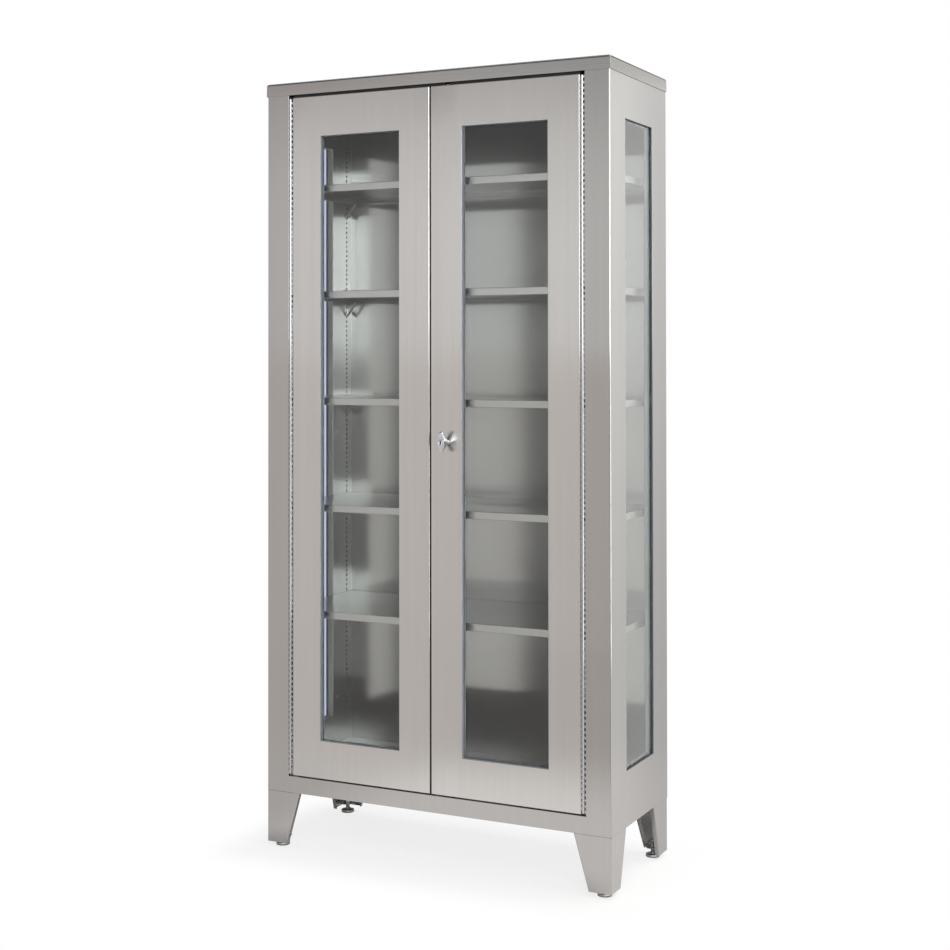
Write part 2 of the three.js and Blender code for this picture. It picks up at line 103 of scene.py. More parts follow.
class SheetSizes(PropertyGroup):
    """Bent sheet of the body, doors and shelves."""

    sheet: size("Sheet", "Thickness of the body and door sheets", 0.0015)
    corner_bend: size("Corner bend", "Outer radius of the bend at the front corners", 0.004)
    edge_bend: size("Edge bend", "Outer radius of the other bends", 0.0022)
    post_bend: size("Post bend", "Outer radius of the bend at a post's inner edge", 0.0008)
    cap_lean: size("Cap lean", "How far the cap's ends lean in at the top", 0.0008)
    cap_bend: size("Cap bend", "Outer radius round the top of the cap", 0.006)
    window_bend: size("Window bend", "Outer radius where a window's edge turns in", 0.0014)
    post_lap: size("Post lap", "How far the back of the post laps the liner", 0.010)
    rear_flange: size("Rear flange", "Width of the flange behind the back sheet", 0.030)
    pane_lap: size("Pane lap", "How far a pane reaches behind the edge of its window", 0.012)
    pane_edge: size("Pane edge", "Ground edge of a pane", 0.0006)
    strip: size("Strip", "Thickness of the strips round the panes", 0.0009)
    # The seals in the door gaps are near-black strips of painted shade
    seal_gap: size("Seal gap", "Clearance of the seal between the doors", 0.0007)
    seal_setback: size("Seal setback", "Depth of that seal behind the doors' faces", 0.005)
    seal_end: size("Seal end", "Distance of that seal from the doors' ends and backs", 0.004)
    shelf_sheet: size("Shelf sheet", "Thickness of a shelf", 0.0012)
    shelf_hem: size("Shelf hem", "Width of the hem under a shelf", 0.014)
    shelf_bend: size("Shelf bend", "Radius of the bend along a shelf's edges", 0.0012)
    leg_sheet: size("Leg sheet", "Thickness of a leg", 0.002)
    leg_return: size("Leg return", "Depth of the returned edge of a leg", 0.010)
    leg_seam: size("Leg seam", "Open seam between a leg and the body", 0.0010)
    leg_bend: size("Leg bend", "Radius of the bend at a leg's corner", 0.0010)


class PunchSizes(PropertyGroup):
    """Holes, screws and rivets."""

    hole_pitch: size("Hole pitch", "Height from one shelf hole to the next", 0.0125)
    hole_radius: size("Hole radius", "Radius of a shelf hole", 0.0033)
    hole_sides: whole("Hole sides", "Facets round a shelf hole", 10, 6)
    holes_below: whole("Holes below", "Holes below the lowest clip hole", 22, 0)
    holes_above: whole("Holes above", "Holes above the highest clip hole", 17, 0)
    screw_radius: size("Screw radius", "Radius of a screw head", 0.0034)
    rivet_radius: size("Rivet radius", "Radius of a rivet head", 0.0030)


class HingeSizes(PropertyGroup):
    """Continuous hinges."""

    knuckle_pitch: size("Knuckle pitch", "Length of one knuckle with its gap", 0.00635)
    knuckle_gap: size("Knuckle gap", "Gap between two knuckles", 0.0004)
    barrel_radius: size("Barrel radius", "Radius of the barrel", 0.003)
    barrel_sides: whole("Barrel sides", "Facets round the barrel", 12, 8)
    pin_radius: size("Pin radius", "Radius of the pin", 0.0015)
    bore_radius: size("Bore radius", "Radius of the bore round the pin", 0.0017)
    leaf_sheet: size("Leaf sheet", "Thickness of a leaf", 0.0012)


class HandleSizes(PropertyGroup):
    """The latch handle and its lock."""

    stem_radius: size("Stem radius", "Radius of the stem", 0.006)
    face_edge: size("Face edge", "Thickness at the rim of the face", 0.004)
    flare: size("Flare", "Depth over which the wings flare out", 0.0235)
    flare_power: FloatProperty(
        name="Flare power", description="How hollow the flare is, 1 for straight",
        default=1.05, min=1,
    )
    bore_radius: size("Bore radius", "Radius of the bore for the lock plug", 0.0058)
    bore_gap: size("Bore gap", "Gap behind the lock plug", 0.0004)
    key_width: size("Key width", "Width of the keyhole", 0.0040)
    key_length: size("Key length", "Length of the keyhole", 0.0088)
    # The dark flap in the keyhole stands in for the shade inside it
    flap_fit: size("Flap fit", "Clearance round the flap in the keyhole", 0.0001)
    flap_sink: size("Flap sink", "Depth of that flap below the lock's face", 0.0002)
    key_depth: size("Key depth", "Depth of the keyhole", 0.005)
    spindle_radius: size("Spindle radius", "Radius of the spindle through the door", 0.005)
    sides: whole("Sides", "Facets round the handle", 64, 16)


class FinishColours(PropertyGroup):
    """Colours of the finishes."""

    brushed: colour("Brushed steel", "Outside of the doors", (0.61, 0.602, 0.592))
    body: colour("Body steel", "Outside of the body and legs", (0.475, 0.467, 0.458))
    bright: colour("Bright steel", "Inside of the body and the shelves", (0.53, 0.53, 0.525))
    hinge: colour("Hinge steel", "Hinges", (0.52, 0.52, 0.53))
    chrome: colour("Chrome", "Handle and lock", (0.62, 0.635, 0.67))
    # A brighter copy of the chrome, as a painted highlight on the lock's face
    lock: colour("Lock", "Face of the lock", (0.93, 0.97, 1.0))
    inner_bead: colour("Inner bead", "Strips behind the side panes", (0.46, 0.49, 0.485))
    # Pale, so that the strip behind the door panes reads light though it sits in shade: partly its
    # own colour, partly painted light
    glazing_tape: colour("Glazing tape", "Strips behind the door panes", (0.82, 0.88, 0.92))
    pane_seal: colour("Pane seal", "Seals round the side panes", (0.045, 0.058, 0.067))
    # Near-black: the strips in the door gaps and the keyhole flap paint the shade there
    rubber: colour("Rubber", "Seals round the doors and panes", (0.008, 0.008, 0.009))
    bead: colour("Bead", "Strips that hold the door panes", (0.25, 0.27, 0.295))
    zinc: colour("Zinc", "Latch, feet and screws", (0.42, 0.42, 0.41))
    glass: colour("Glass", "Tint of the panes", (0.955, 0.98, 0.972))


class StageLook(PropertyGroup):
    """Floor, light and camera."""

    floor: colour("Floor", "Colour of the floor", (0.86, 0.845, 0.825))
    front_tone: colour("Room", "The room in front and to the left", (0.93, 0.925, 0.915))
    front_low: colour("Low room", "The same below eye level", (0.80, 0.755, 0.725))
    near_left: colour("Near left", "The floor round the cabinet, on the left", (0.76, 0.73, 0.71))
    near_right: colour("Near right", "The same on the right", (0.98, 0.95, 0.93))
    left_wall: colour("Left wall", "Tint of the room at the far left", (0.855, 0.813, 0.80))
    front_high: colour("High room", "The same higher up", (0.56, 0.545, 0.54))
    screen_tone: colour("Screen", "The lit screen in front and to the right", (4.2, 4.25, 4.2), 6.0)
    screen_low: colour("Below the screen", "The dark floor below that screen", (0.06, 0.06, 0.065))
    back_tone: colour("Backdrop", "The lit backdrop behind", (1.24, 1.235, 1.22), 4.0)
    back_low: colour("Low backdrop", "The foot of the backdrop", (0.90, 0.89, 0.875))
    back_high: colour("High backdrop", "Above the top of the backdrop", (0.78, 0.765, 0.75))
    side_tone: colour("Side", "The room to the right", (1.15, 1.15, 1.17), 4.0)
    left_tone: colour("Left backdrop", "The backdrop behind and to the left", (0.60, 0.64, 0.95))
    ceiling_tone: colour("Ceiling", "The far part of the ceiling", (0.04, 0.04, 0.045))
    overhead_tone: colour("Overhead", "The ceiling straight overhead", (0.42, 0.415, 0.41))
    camera_place: FloatVectorProperty(
        name="Camera", description="Place of the camera", default=(1.77384, -3.51149, 1.22279),
        subtype="TRANSLATION", unit="LENGTH", precision=4,
    )
    camera_yaw: angle("Yaw", "Turn of the camera to the left", 0.4598)
    camera_pitch: angle("Pitch", "Lift of the camera's axis", 0.0122)
    camera_roll: angle("Roll", "Roll of the camera", -0.0012)
    camera_lens: FloatProperty(name="Lens", description="Focal length in mm", default=60.713, min=1)
    camera_shift: FloatProperty(name="Shift", description="Lowering of the frame", default=-0.1504)


# Shader nodes


class Wire:
    """An output in a node tree. Sums on values are written as plain expressions."""

    def __init__(self, tree, socket=None):
        self.tree = tree
        self.socket = socket

    def add(self, kind, settings=None, sockets=None, out=0):
        """Adds a node: first its settings, then the values or links of its sockets."""
        node = self.tree.nodes.new(kind)
        for key, value in (settings or {}).items():
            setattr(node, key, value)
        for key, value in (sockets or {}).items():
            if isinstance(value, Wire):
                self.tree.links.new(value.socket, node.inputs[key])
            else:
                node.inputs[key].default_value = value
        return Wire(self.tree, node.outputs[out] if node.outputs else None)

    def work(self, operation, first, second):
        return self.add("ShaderNodeMath", {"operation": operation}, {0: first, 1: second})

    def __add__(self, other):
        return self.work("ADD", self, other)

    def __sub__(self, other):
        return self.work("SUBTRACT", self, other)

    def __rsub__(self, other):
        return self.work("SUBTRACT", other, self)

    def __mul__(self, other):
        return self.work("MULTIPLY", self, other)

    __radd__ = __add__
    __rmul__ = __mul__

    def vector(self, operation, *sources, out="Vector"):
        """A sum on vectors."""
        sockets = dict(enumerate(sources))
        return self.add("ShaderNodeVectorMath", {"operation": operation}, sockets, out)

    def part(self, axis):
        """A vector's length along one axis."""
        return self.add("ShaderNodeSeparateXYZ", None, {"Vector": self}, axis)

    def span(self, low, high):
        """The value's place between low and high, from 0 to 1, with soft ends."""
        return self.add(
            "ShaderNodeMapRange",
            {"interpolation_type": "SMOOTHSTEP"},
            {"Value": self, "From Min": low, "From Max": high},
        )

    def blend(self, share, first, second, kind="MIX"):
        """A colour between two colours."""
        return self.add(
            "ShaderNodeMix",
            {"data_type": "RGBA", "blend_type": kind, "clamp_factor": True},
            {0: share, 6: first, 7: second},
            out=2,
        )

    def surface(self, sockets):
        """A shader for one kind of surface."""
        return self.add("ShaderNodeBsdfPrincipled", None, sockets)


def own_place(wire):
    """The piece's own coordinates."""
    return wire.add("ShaderNodeTexCoord", out="Object")


def noise(wire, scale, detail, rough=0.5):
    """Noise on the piece's own coordinates, with its own scale along each axis."""
    spread = wire.add("ShaderNodeMapping", None, {"Vector": own_place(wire), "Scale": scale})
    return wire.add(
        "ShaderNodeTexNoise",
        {"noise_dimensions": "3D"},
        {"Vector": spread, "Scale": 1.0, "Detail": detail, "Roughness": rough},
    )


def bumped(wire, height, distance):
    """A normal raised by a height."""
    sockets = {"Height": height, "Distance": distance, "Strength": 1.0}
    return wire.add("ShaderNodeBump", None, sockets)


def opaque(tone):
    """A colour with full alpha."""
    return (*tone, 1.0)


def shade(tone, share):
    """A colour made darker or lighter by a share."""
    return opaque(min(1.0, part * share) for part in tone)


def make_finish(name, build):
    """A material whose shader comes from a function of its node tree."""
    finish = bpy.data.materials.new(name)
    finish.use_nodes = True
    tree = finish.node_tree
    tree.nodes.clear()
    wire = Wire(tree)
    wire.add("ShaderNodeOutputMaterial", None, {"Surface": build(wire)})
    return finish


BLACK, WHITE = opaque((0, 0, 0)), opaque((1, 1, 1))

# Scales of the fine lines and of the soft streaks in brushed sheet
GRAIN_UPRIGHT = ((1100, 1100, 9), (70, 70, 1.1))
GRAIN_ACROSS = ((9, 1100, 1100), (1.1, 70, 70))

# Attribute on the handle: how much a spot looks to the rear, which sets the painted shade on the
# chrome's back
BEHIND = "facing_back"


def brushed_steel(tone, grain, smooth=0.13, rear_shade=0.0, depth=0.00006, stretch=1.0):
    """Brushed sheet: fine grain one way, soft streaks, faint wiping marks, duller to the rear."""
    spread = 0.04

    def build(wire):
        fine = noise(wire, grain[0], 1.0)
        streak = noise(wire, grain[1], 3.0, 0.6)
        cloud = noise(wire, (3.1, 3.1, 2.3), 3.0, 0.55)
        worn = streak * 0.55 + cloud * 0.45
        deep = own_place(wire).part("Y")
        skin = wire.blend(worn.span(0.3, 0.72), shade(tone, 0.975), shade(tone, 1.02))
        return wire.surface({
            # Painted shade: the colour darkens from the front towards the rear
            "Base Color": wire.blend(deep.span(FRONT, REAR) * rear_shade, skin, BLACK),
            "Metallic": 1.0,
            "Roughness": fine * spread + cloud * spread + (smooth - spread),
            "Anisotropic": stretch,
            "Normal": bumped(wire, fine, depth),
        })

    return build


def bright_steel(tone, wave=0.0004):
    """Bright rolled sheet: a clear reflection bent by a slow waviness, under a soft haze."""
    haze = 0.32

    def build(wire):
        fine = noise(wire, (900, 900, 12), 1.0)
        cloud = noise(wire, (4.2, 4.2, 2.6), 3.0, 0.55)
        wavy = noise(wire, (3.4, 3.4, 2.2), 1.0, 0.4)

        def layer(smooth, stretch):
            light, dark = shade(tone, 1.03), shade(tone, 0.96)
            return wire.surface({
                "Base Color": wire.blend(cloud.span(0.3, 0.7), dark, light),
                "Metallic": 1.0,
                "Roughness": fine * 0.03 + cloud * 0.04 + smooth,
                "Anisotropic": stretch,
                "Normal": bumped(wire, wavy, wave),
            })

        clear, dull = layer(0.10, 1.0), layer(0.29, 0.0)
        return wire.add("ShaderNodeMixShader", None, {0: haze, 1: clear, 2: dull})

    return build


def chrome_plate(tone):
    """Chrome with faint handling marks, left dark as cast where a piece looks to the rear."""

    def build(wire):
        marks = noise(wire, (160, 160, 160), 4.0, 0.65)
        behind = wire.add("ShaderNodeAttribute", {"attribute_name": BEHIND}, out="Fac")
        # Painted shade: faces that look back at the door turn dark
        back_shade = behind.span(0.34, 0.52)
        plate = wire.blend(marks.span(0.35, 0.75), shade(tone, 1.0), shade(tone, 0.94))
        return wire.surface({
            "Base Color": wire.blend(back_shade, plate, shade(tone, 0.16)),
            "Metallic": 1.0,
            "Roughness": marks.span(0.45, 0.8) * 0.09 + back_shade * 0.2 + 0.05,
        })

    return build


def zinc_plate(tone):
    """Dull zinc: fine crystals and darker patches."""

    def build(wire):
        crystal = wire.add(
            "ShaderNodeTexVoronoi", {"feature": "F1"}, {"Vector": own_place(wire), "Scale": 420.0}
        )
        patch = noise(wire, (90, 90, 90), 3.0, 0.6)
        return wire.surface({
            "Base Color": wire.blend(patch.span(0.3, 0.7), shade(tone, 0.78), shade(tone, 1.16)),
            "Metallic": 1.0,
            "Roughness": patch * 0.16 + crystal * 0.10 + 0.26,
            "Normal": bumped(wire, patch, 0.00006),
        })

    return build


def dull_bead(tone):
    """Glazing bead: dull zinc skin, chalky in patches."""

    def build(wire):
        chalk = noise(wire, (45, 45, 9), 4.0, 0.6)
        return wire.surface({
            "Base Color": wire.blend(chalk.span(0.3, 0.75), shade(tone, 0.92), shade(tone, 1.08)),
            "Metallic": 0.35,
            "Roughness": chalk * 0.2 + 0.42,
        })

    return build


def black_rubber(tone):
    """Extruded rubber: a fine matt skin with paler dusty patches."""

    def build(wire):
        dust = noise(wire, (60, 60, 14), 4.0, 0.6)
        skin = noise(wire, (1400, 1400, 300), 1.0)
        return wire.surface({
            "Base Color": wire.blend(dust.span(0.4, 0.8), shade(tone, 1.0), shade(tone, 1.9)),
            "Roughness": dust * 0.2 + 0.5,
            "Normal": bumped(wire, skin, 0.00003),
        })

    return build


def clear_glass(tone):
    """Float glass with a faint tint that drifts over the pane."""

    def build(wire):
        drift = noise(wire, (2.4, 2.4, 1.7), 2.0, 0.5)
        return wire.surface({
            "Base Color": wire.blend(drift.span(0.3, 0.7), shade(tone, 0.985), shade(tone, 1.01)),
            "Roughness": 0.0,
            "IOR": 1.42,
            "Transmission Weight": 1.0,
        })

    return build


FINISHES = {}


def make_finishes(tones):
    """All finishes, by the names that the pieces use."""
    builds = {
        "brushed_door": brushed_steel(tones.brushed, GRAIN_UPRIGHT, smooth=0.16, depth=0.00011),
        # The body's finish carries painted shade that darkens it towards the rear
        "brushed_body": brushed_steel(tones.body, GRAIN_UPRIGHT, rear_shade=0.24),
        "brushed_across": brushed_steel(tones.body, GRAIN_ACROSS, stretch=0.0),
        "bright_sheet": bright_steel(tones.bright),
        "bright_shelf": bright_steel(tones.bright, wave=0.0003),
        "bright_small": bright_steel(tones.bright, wave=0.0),
        "hinge_steel": bright_steel(tones.hinge, wave=0.0),
        "chrome_plate": chrome_plate(tones.chrome),
        "zinc_plate": zinc_plate(tones.zinc),
        # Near-black finish of the strips that paint the shade in the door gaps and the keyhole
        "black_rubber": black_rubber(tones.rubber),
        "dull_bead": dull_bead(tones.bead),
        "inner_bead": dull_bead(tones.inner_bead),
        # Lightened strip behind the door panes: partly its own colour, partly painted light
        "glazing_tape": dull_bead(tones.glazing_tape),
        "pane_seal": black_rubber(tones.pane_seal),
        # Brighter copy of the chrome: painted highlight on the lock's face
        "lock_face": chrome_plate(tones.lock),
        "clear_glass": clear_glass(tones.glass),
    }
    for name, build in builds.items():
        FINISHES[name] = make_finish(name, build)


# Mesh tools

SHARP = math.radians(38)  # From this angle on, shading breaks at an edge
BENT = 0.9  # From this angle on, an edge counts as a bend
FACING = 0.9  # Least cosine for a face that looks along a direction
COPLANAR = math.radians(0.5)  # Up to this angle, faces of a solid count as one
SHORT = 5  # Edges of a solid shorter than this many radii stay sharp
MERGE = 1e-6  # Distance at which vertices merge
FLAT = 1e-5  # Slack for what lies in one plane
ON_CUT = 1e-7  # Slack for what lies on a cut
QUARTER = math.pi / 2

# Turns that lay a flat shape across each axis
ACROSS = (Matrix.Rotation(QUARTER, 4, "Y"), Matrix.Rotation(QUARTER, 4, "X"), Matrix.Identity(4))


def centre_of(node):
    """Middle of a solid's box."""
    low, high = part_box(node)
    return (low + high) / 2


def along(axis, length):
    """A vector along one axis."""
    way = Vector((0, 0, 0))
    way[axis] = length
    return way


def others(axis):
    """The two axes across an axis."""
    return [index for index in range(3) if index != axis]


def evenly(low, high, count):
    """Places from low to high, evenly spaced."""
    return [low + step * (high - low) / (count - 1) for step in range(count)]


def middle(edge):
    return (edge.verts[0].co + edge.verts[1].co) / 2


def edges_of(verts):
    return {edge for vert in verts for edge in vert.link_edges}


def faces_of(verts):
    return {face for vert in verts for face in vert.link_faces}


def vert_parts(geom):
    return [part for part in geom if isinstance(part, bmesh.types.BMVert)]


def push_edges(bm, edges, way):
    """Extrudes edges along a vector. Gives what the extrusion made."""
    made = bmesh.ops.extrude_edge_only(bm, edges=edges)["geom"]
    bmesh.ops.translate(bm, verts=vert_parts(made), vec=way)
    return made


def folded(points, axis, low, high):
    """The outer surface of a bent sheet: an open line of points, pushed along an axis."""
    bm = bmesh.new()
    corners = []
    for point in points:
        place = list(point)
        place.insert(axis, low)
        corners.append(bm.verts.new(place))
    line = [bm.edges.new(pair) for pair in zip(corners, corners[1:])]
    push_edges(bm, line, along(axis, high - low))
    return bm


def corner_loop(low, high, axis, at, inset=0.0):
    """Four corners of a rectangle across an axis, drawn in by an inset."""
    first, second = others(axis)
    loop = []
    for one, two in ((low, low), (high, low), (high, high), (low, high)):
        place = along(axis, at)
        place[first] = one[first] + (inset if one is low else -inset)
        place[second] = two[second] + (inset if two is low else -inset)
        loop.append(place)
    return loop


def rectangle(low, high, axis, at):
    """One flat sheet across an axis."""
    bm = bmesh.new()
    sheet = bm.faces.new([bm.verts.new(corner) for corner in corner_loop(low, high, axis, at)])
    sheet.normal_update()
    return bm


def block(bm, first, second):
    """A box between two opposite corners, added to a mesh. Gives its vertices."""
    low = Vector([min(pair) for pair in zip(first, second)])
    high = Vector([max(pair) for pair in zip(first, second)])
    place = Matrix.Translation((low + high) / 2) @ Matrix.Diagonal((*(high - low), 1))
    return bmesh.ops.create_cube(bm, size=1, matrix=place)["verts"]


def lathe(bm, profile, sides, place):
    """A turned shape: (radius, height) points spun about Z, then put in place."""
    corners = [bm.verts.new((radius, 0, height)) for radius, height in profile]
    line = [bm.edges.new(pair) for pair in zip(corners, corners[1:])]
    bmesh.ops.spin(
        bm, geom=corners + line, axis=(0, 0, 1), cent=(0, 0, 0),
        angle=2 * math.pi, steps=sides, use_merge=True,
    )
    verts = {vert for vert in corners if vert.is_valid}
    seeds = list(verts)
    while seeds:
        for edge in seeds.pop().link_edges:
            for vert in edge.verts:
                if vert not in verts:
                    verts.add(vert)
                    seeds.append(vert)
    bmesh.ops.transform(bm, matrix=place, verts=list(verts))
    bmesh.ops.remove_doubles(bm, verts=list(verts), dist=MERGE)


def bend_edges(bm, pick=lambda edge: True):
    """Edges where two faces meet at a clear angle."""
    return [
        edge for edge in bm.edges
        if len(edge.link_faces) == 2 and edge.calc_face_angle() > BENT and pick(edge)
    ]


def round_off(bm, edges, radius, segments):
    """Rounds edges to a radius."""
    if edges:
        bmesh.ops.recalc_face_normals(bm, faces=bm.faces)
        bmesh.ops.bevel(
            bm, geom=edges, offset=radius, offset_type="OFFSET", affect="EDGES",
            segments=segments, profile=0.5, material=-1, clamp_overlap=True,
        )


def rounded_block(bm, first, second, radius, segments):
    """A box with all its edges rounded, added to a mesh."""
    round_off(bm, list(edges_of(block(bm, first, second))), radius, segments)


def on_plane(axis, at):
    """A test for the faces that lie in a plane across an axis."""

    def pick(face):
        flat = abs(face.normal[axis]) > FACING
        return flat and abs(face.calc_center_median()[axis] - at) < FLAT

    return pick


def slice_faces(bm, pick, cuts):
    """Cuts the picked faces along planes, each an axis and a place on it."""
    for axis, place in cuts:
        geom = set()
        for face in filter(pick, bm.faces):
            geom.update((face, *face.edges, *face.verts))
        bmesh.ops.bisect_plane(
            bm, geom=list(geom), dist=ON_CUT, plane_co=along(axis, place), plane_no=along(axis, 1)
        )


def within(point, low, high, axes):
    return all(low[axis] - FLAT < point[axis] < high[axis] + FLAT for axis in axes)


def cut_round(bm, axis, at, low, high):
    """Cuts the faces on a plane round a rectangle. Gives the faces inside it."""
    pick, axes = on_plane(axis, at), others(axis)
    slice_faces(bm, pick, [(index, place[index]) for index in axes for place in (low, high)])
    return [
        face for face in bm.faces
        if pick(face) and within(face.calc_center_median(), low, high, axes)
    ]


def open_window(bm, axis, at, low, high, depth):
    """Cuts a window in the faces on a plane and turns its edge in. Gives the edges of the turn."""
    bmesh.ops.delete(bm, geom=cut_round(bm, axis, at, low, high), context="FACES")
    rim = [
        edge for edge in bm.edges
        if edge.is_boundary and all(within(v.co, low, high, others(axis)) for v in edge.verts)
    ]
    push_edges(bm, rim, along(axis, depth))
    return rim


def ring_hole(bm, border, axis, centre, radius, sides, normal=(0, 0, 0)):
    """Fills a loop of edges up to a round hole."""
    place = Matrix.Translation(centre) @ ACROSS[axis]
    ring = bmesh.ops.create_circle(bm, cap_ends=False, segments=sides, radius=radius, matrix=place)
    edges = border | edges_of(ring["verts"])
    bmesh.ops.triangle_fill(bm, edges=list(edges), use_beauty=True, normal=normal)


def pierce(bm, axis, centre, radius, sides, cell):
    """A round hole in the faces across an axis, inside a small square cell."""
    centre, reach = Vector(centre), Vector((cell, cell, cell))
    gone = cut_round(bm, axis, centre[axis], centre - reach, centre + reach)
    border = {
        edge for face in gone for edge in face.edges
        if sum(other in gone for other in edge.link_faces) == 1
    }
    bmesh.ops.delete(bm, geom=gone, context="FACES_ONLY")
    ring_hole(bm, border, axis, centre, radius, sides)


def close_up(bm):
    """Merges doubles and turns the faces of closed shapes outwards."""
    bmesh.ops.remove_doubles(bm, verts=bm.verts[:], dist=MERGE)
    bmesh.ops.recalc_face_normals(bm, faces=bm.faces[:])


def face_out(bm, direction):
    """Makes the faces of an open sheet agree, so that its widest face looks along a direction."""
    direction = Vector(direction)
    close_up(bm)
    facing = [face for face in bm.faces if abs(face.normal.dot(direction)) > FACING]
    if max(facing, key=lambda face: face.calc_area()).normal.dot(direction) < 0:
        bmesh.ops.reverse_faces(bm, faces=bm.faces[:])


def softened(node, radius, wide=0.004):
    """A merged copy of a solid, with the bends between its wide faces rounded."""
    bm = bmesh.new()
    bm.from_mesh(frame["nodes"][node].data)
    bmesh.ops.remove_doubles(bm, verts=bm.verts[:], dist=FLAT)
    bmesh.ops.dissolve_limit(
        bm, angle_limit=COPLANAR, verts=bm.verts[:], edges=bm.edges[:],
        use_dissolve_boundaries=False,
    )

    def outer(edge):
        broad = all(face.calc_area() / edge.calc_length() > wide for face in edge.link_faces)
        return broad and edge.is_convex and edge.calc_length() > SHORT * radius

    round_off(bm, bend_edges(bm, outer), radius, 2)
    return bm


def settle(piece):
    """Replaces a piece's mesh by what its modifiers make of it."""
    shown = piece.evaluated_get(bpy.context.evaluated_depsgraph_get())
    done = bpy.data.meshes.new_from_object(shown)
    piece.modifiers.clear()
    old, piece.data = piece.data, done
    bpy.data.meshes.remove(old)


def piece_of(name, bm, body, slot, finish, nodes=(), sheet=0.0):
    """Makes a piece of a mesh: gives a sheet its wall, shades it, and sets it on its body."""
    mesh = bpy.data.meshes.new(name)
    bm.to_mesh(mesh)
    bm.free()
    piece = bpy.data.objects.new(name, mesh)
    bpy.context.scene.collection.objects.link(piece)
    if sheet:
        wall = piece.modifiers.new("wall", "SOLIDIFY")
        wall.thickness, wall.offset = sheet, -1
        wall.use_even_offset = wall.use_quality_normals = True
        settle(piece)
    piece.data.name = name
    piece.data.shade_smooth()
    piece.data.set_sharp_from_angle(angle=SHARP)
    piece.modifiers.new("even", "WEIGHTED_NORMAL").keep_sharp = True
    piece.data.materials.clear()
    piece.data.materials.append(FINISHES[finish])
    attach(piece, body)
    if nodes:
        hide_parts(*nodes)


# Operators


class CabinetOperator(Operator):
    """What all the cabinet's operators share."""

    bl_options = {"REGISTER", "UNDO"}

    @property
    def sheets(self):
        return bpy.context.scene.cabinet_sheets

    @property
    def punches(self):
        return bpy.context.scene.cabinet_punches

    def side_window(self):
        """Corners of the window in a side wall."""
        lap = Vector((0, self.sheets.pane_lap, self.sheets.pane_lap))
        return SIDE_PANE_LOW + lap, SIDE_PANE_HIGH - lap


class CABINET_OT_side_skins(CabinetOperator):
    """Outer side sheets with their front posts, bent from one sheet each"""

    bl_idname = "cabinet.side_skins"
    bl_label = "Side skins"

    def execute(self, context):
        s = self.sheets
        low, high = self.side_window()
        plan = [
            (LINER_FACE + s.post_lap, POST_BACK),
            (POST_EDGE, POST_BACK),
            (POST_EDGE, FRONT),
            (HALF_WIDTH, FRONT),
            (HALF_WIDTH, REAR),
            (HALF_WIDTH - s.rear_flange, REAR),
        ]
        for name, side in SIDES:
            face_x = side * HALF_WIDTH
            bm = folded([(side * x, y) for x, y in plan], 2, BODY_LOW, BODY_HIGH)

            def on_corner(edge, at=face_x):
                return abs(middle(edge).x - at) < FLAT and middle(edge).y < 0

            round_off(bm, bend_edges(bm, on_corner), s.corner_bend, 5)
            round_off(bm, bend_edges(bm), s.post_bend, 3)
            depth = side * (SIDE_PANE_HIGH.x - HALF_WIDTH)
            rim = open_window(bm, 0, face_x, low, high, depth)
            round_off(bm, rim, s.window_bend, 2)
            face_out(bm, (side, 0, 0))
            piece_of(
                f"{name}_side_skin", bm, "cabinet", "brushed_steel", "brushed_body",
                [f"{name}_side_shell"], s.sheet,
            )
        return {"FINISHED"}


HOLE_DROP = 0.001  # From the top of a clip to the middle of its hole


class CABINET_OT_side_liners(CabinetOperator):
    """Inner side sheets with two columns of shelf holes each"""

    bl_idname = "cabinet.side_liners"
    bl_label = "Side liners"

    def execute(self, context):
        s, p = self.sheets, self.punches
        highest, lowest = (
            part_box(f"shelf_{number}_clip_front_right")[1].z - HOLE_DROP
            for number in (SHELVES[0], SHELVES[-1])
        )
        count = round((highest - lowest) / p.hole_pitch) + p.holes_below + p.holes_above + 1
        levels = [lowest + (index - p.holes_below) * p.hole_pitch for index in range(count)]
        columns = [centre_of(f"shelf_{SHELVES[-1]}_clip_{end}_right").y for end in ENDS]
        half = p.hole_pitch / 2
        cuts = [(1, y + way * half) for y in columns for way in (-1, 1)]
        cuts += [(2, z - half) for z in (*levels, levels[-1] + p.hole_pitch)]
        low, high = self.side_window()
        for name, side in SIDES:
            face_x = side * LINER_FACE
            bm = rectangle(LINER_LOW, LINER_HIGH, 0, face_x)
            slice_faces(bm, on_plane(0, face_x), cuts)
            cells = [
                face for face in bm.faces
                if any(abs(face.calc_center_median().y - y) < half for y in columns)
                and levels[0] - half < face.calc_center_median().z < levels[-1] + half
            ]
            for cell in cells:
                centre, border = cell.calc_center_median(), set(cell.edges)
                bmesh.ops.delete(bm, geom=[cell], context="FACES_ONLY")
                ring_hole(bm, border, 0, centre, p.hole_radius, p.hole_sides, (-side, 0, 0))
            open_window(bm, 0, face_x, low, high, side * (SIDE_PANE_LOW.x - LINER_FACE))
            face_out(bm, (-side, 0, 0))
            piece_of(
                f"{name}_side_liner_sheet", bm, "cabinet", "polished_steel", "bright_sheet",
                [f"{name}_side_liner"], s.sheet,
            )
        return {"FINISHED"}


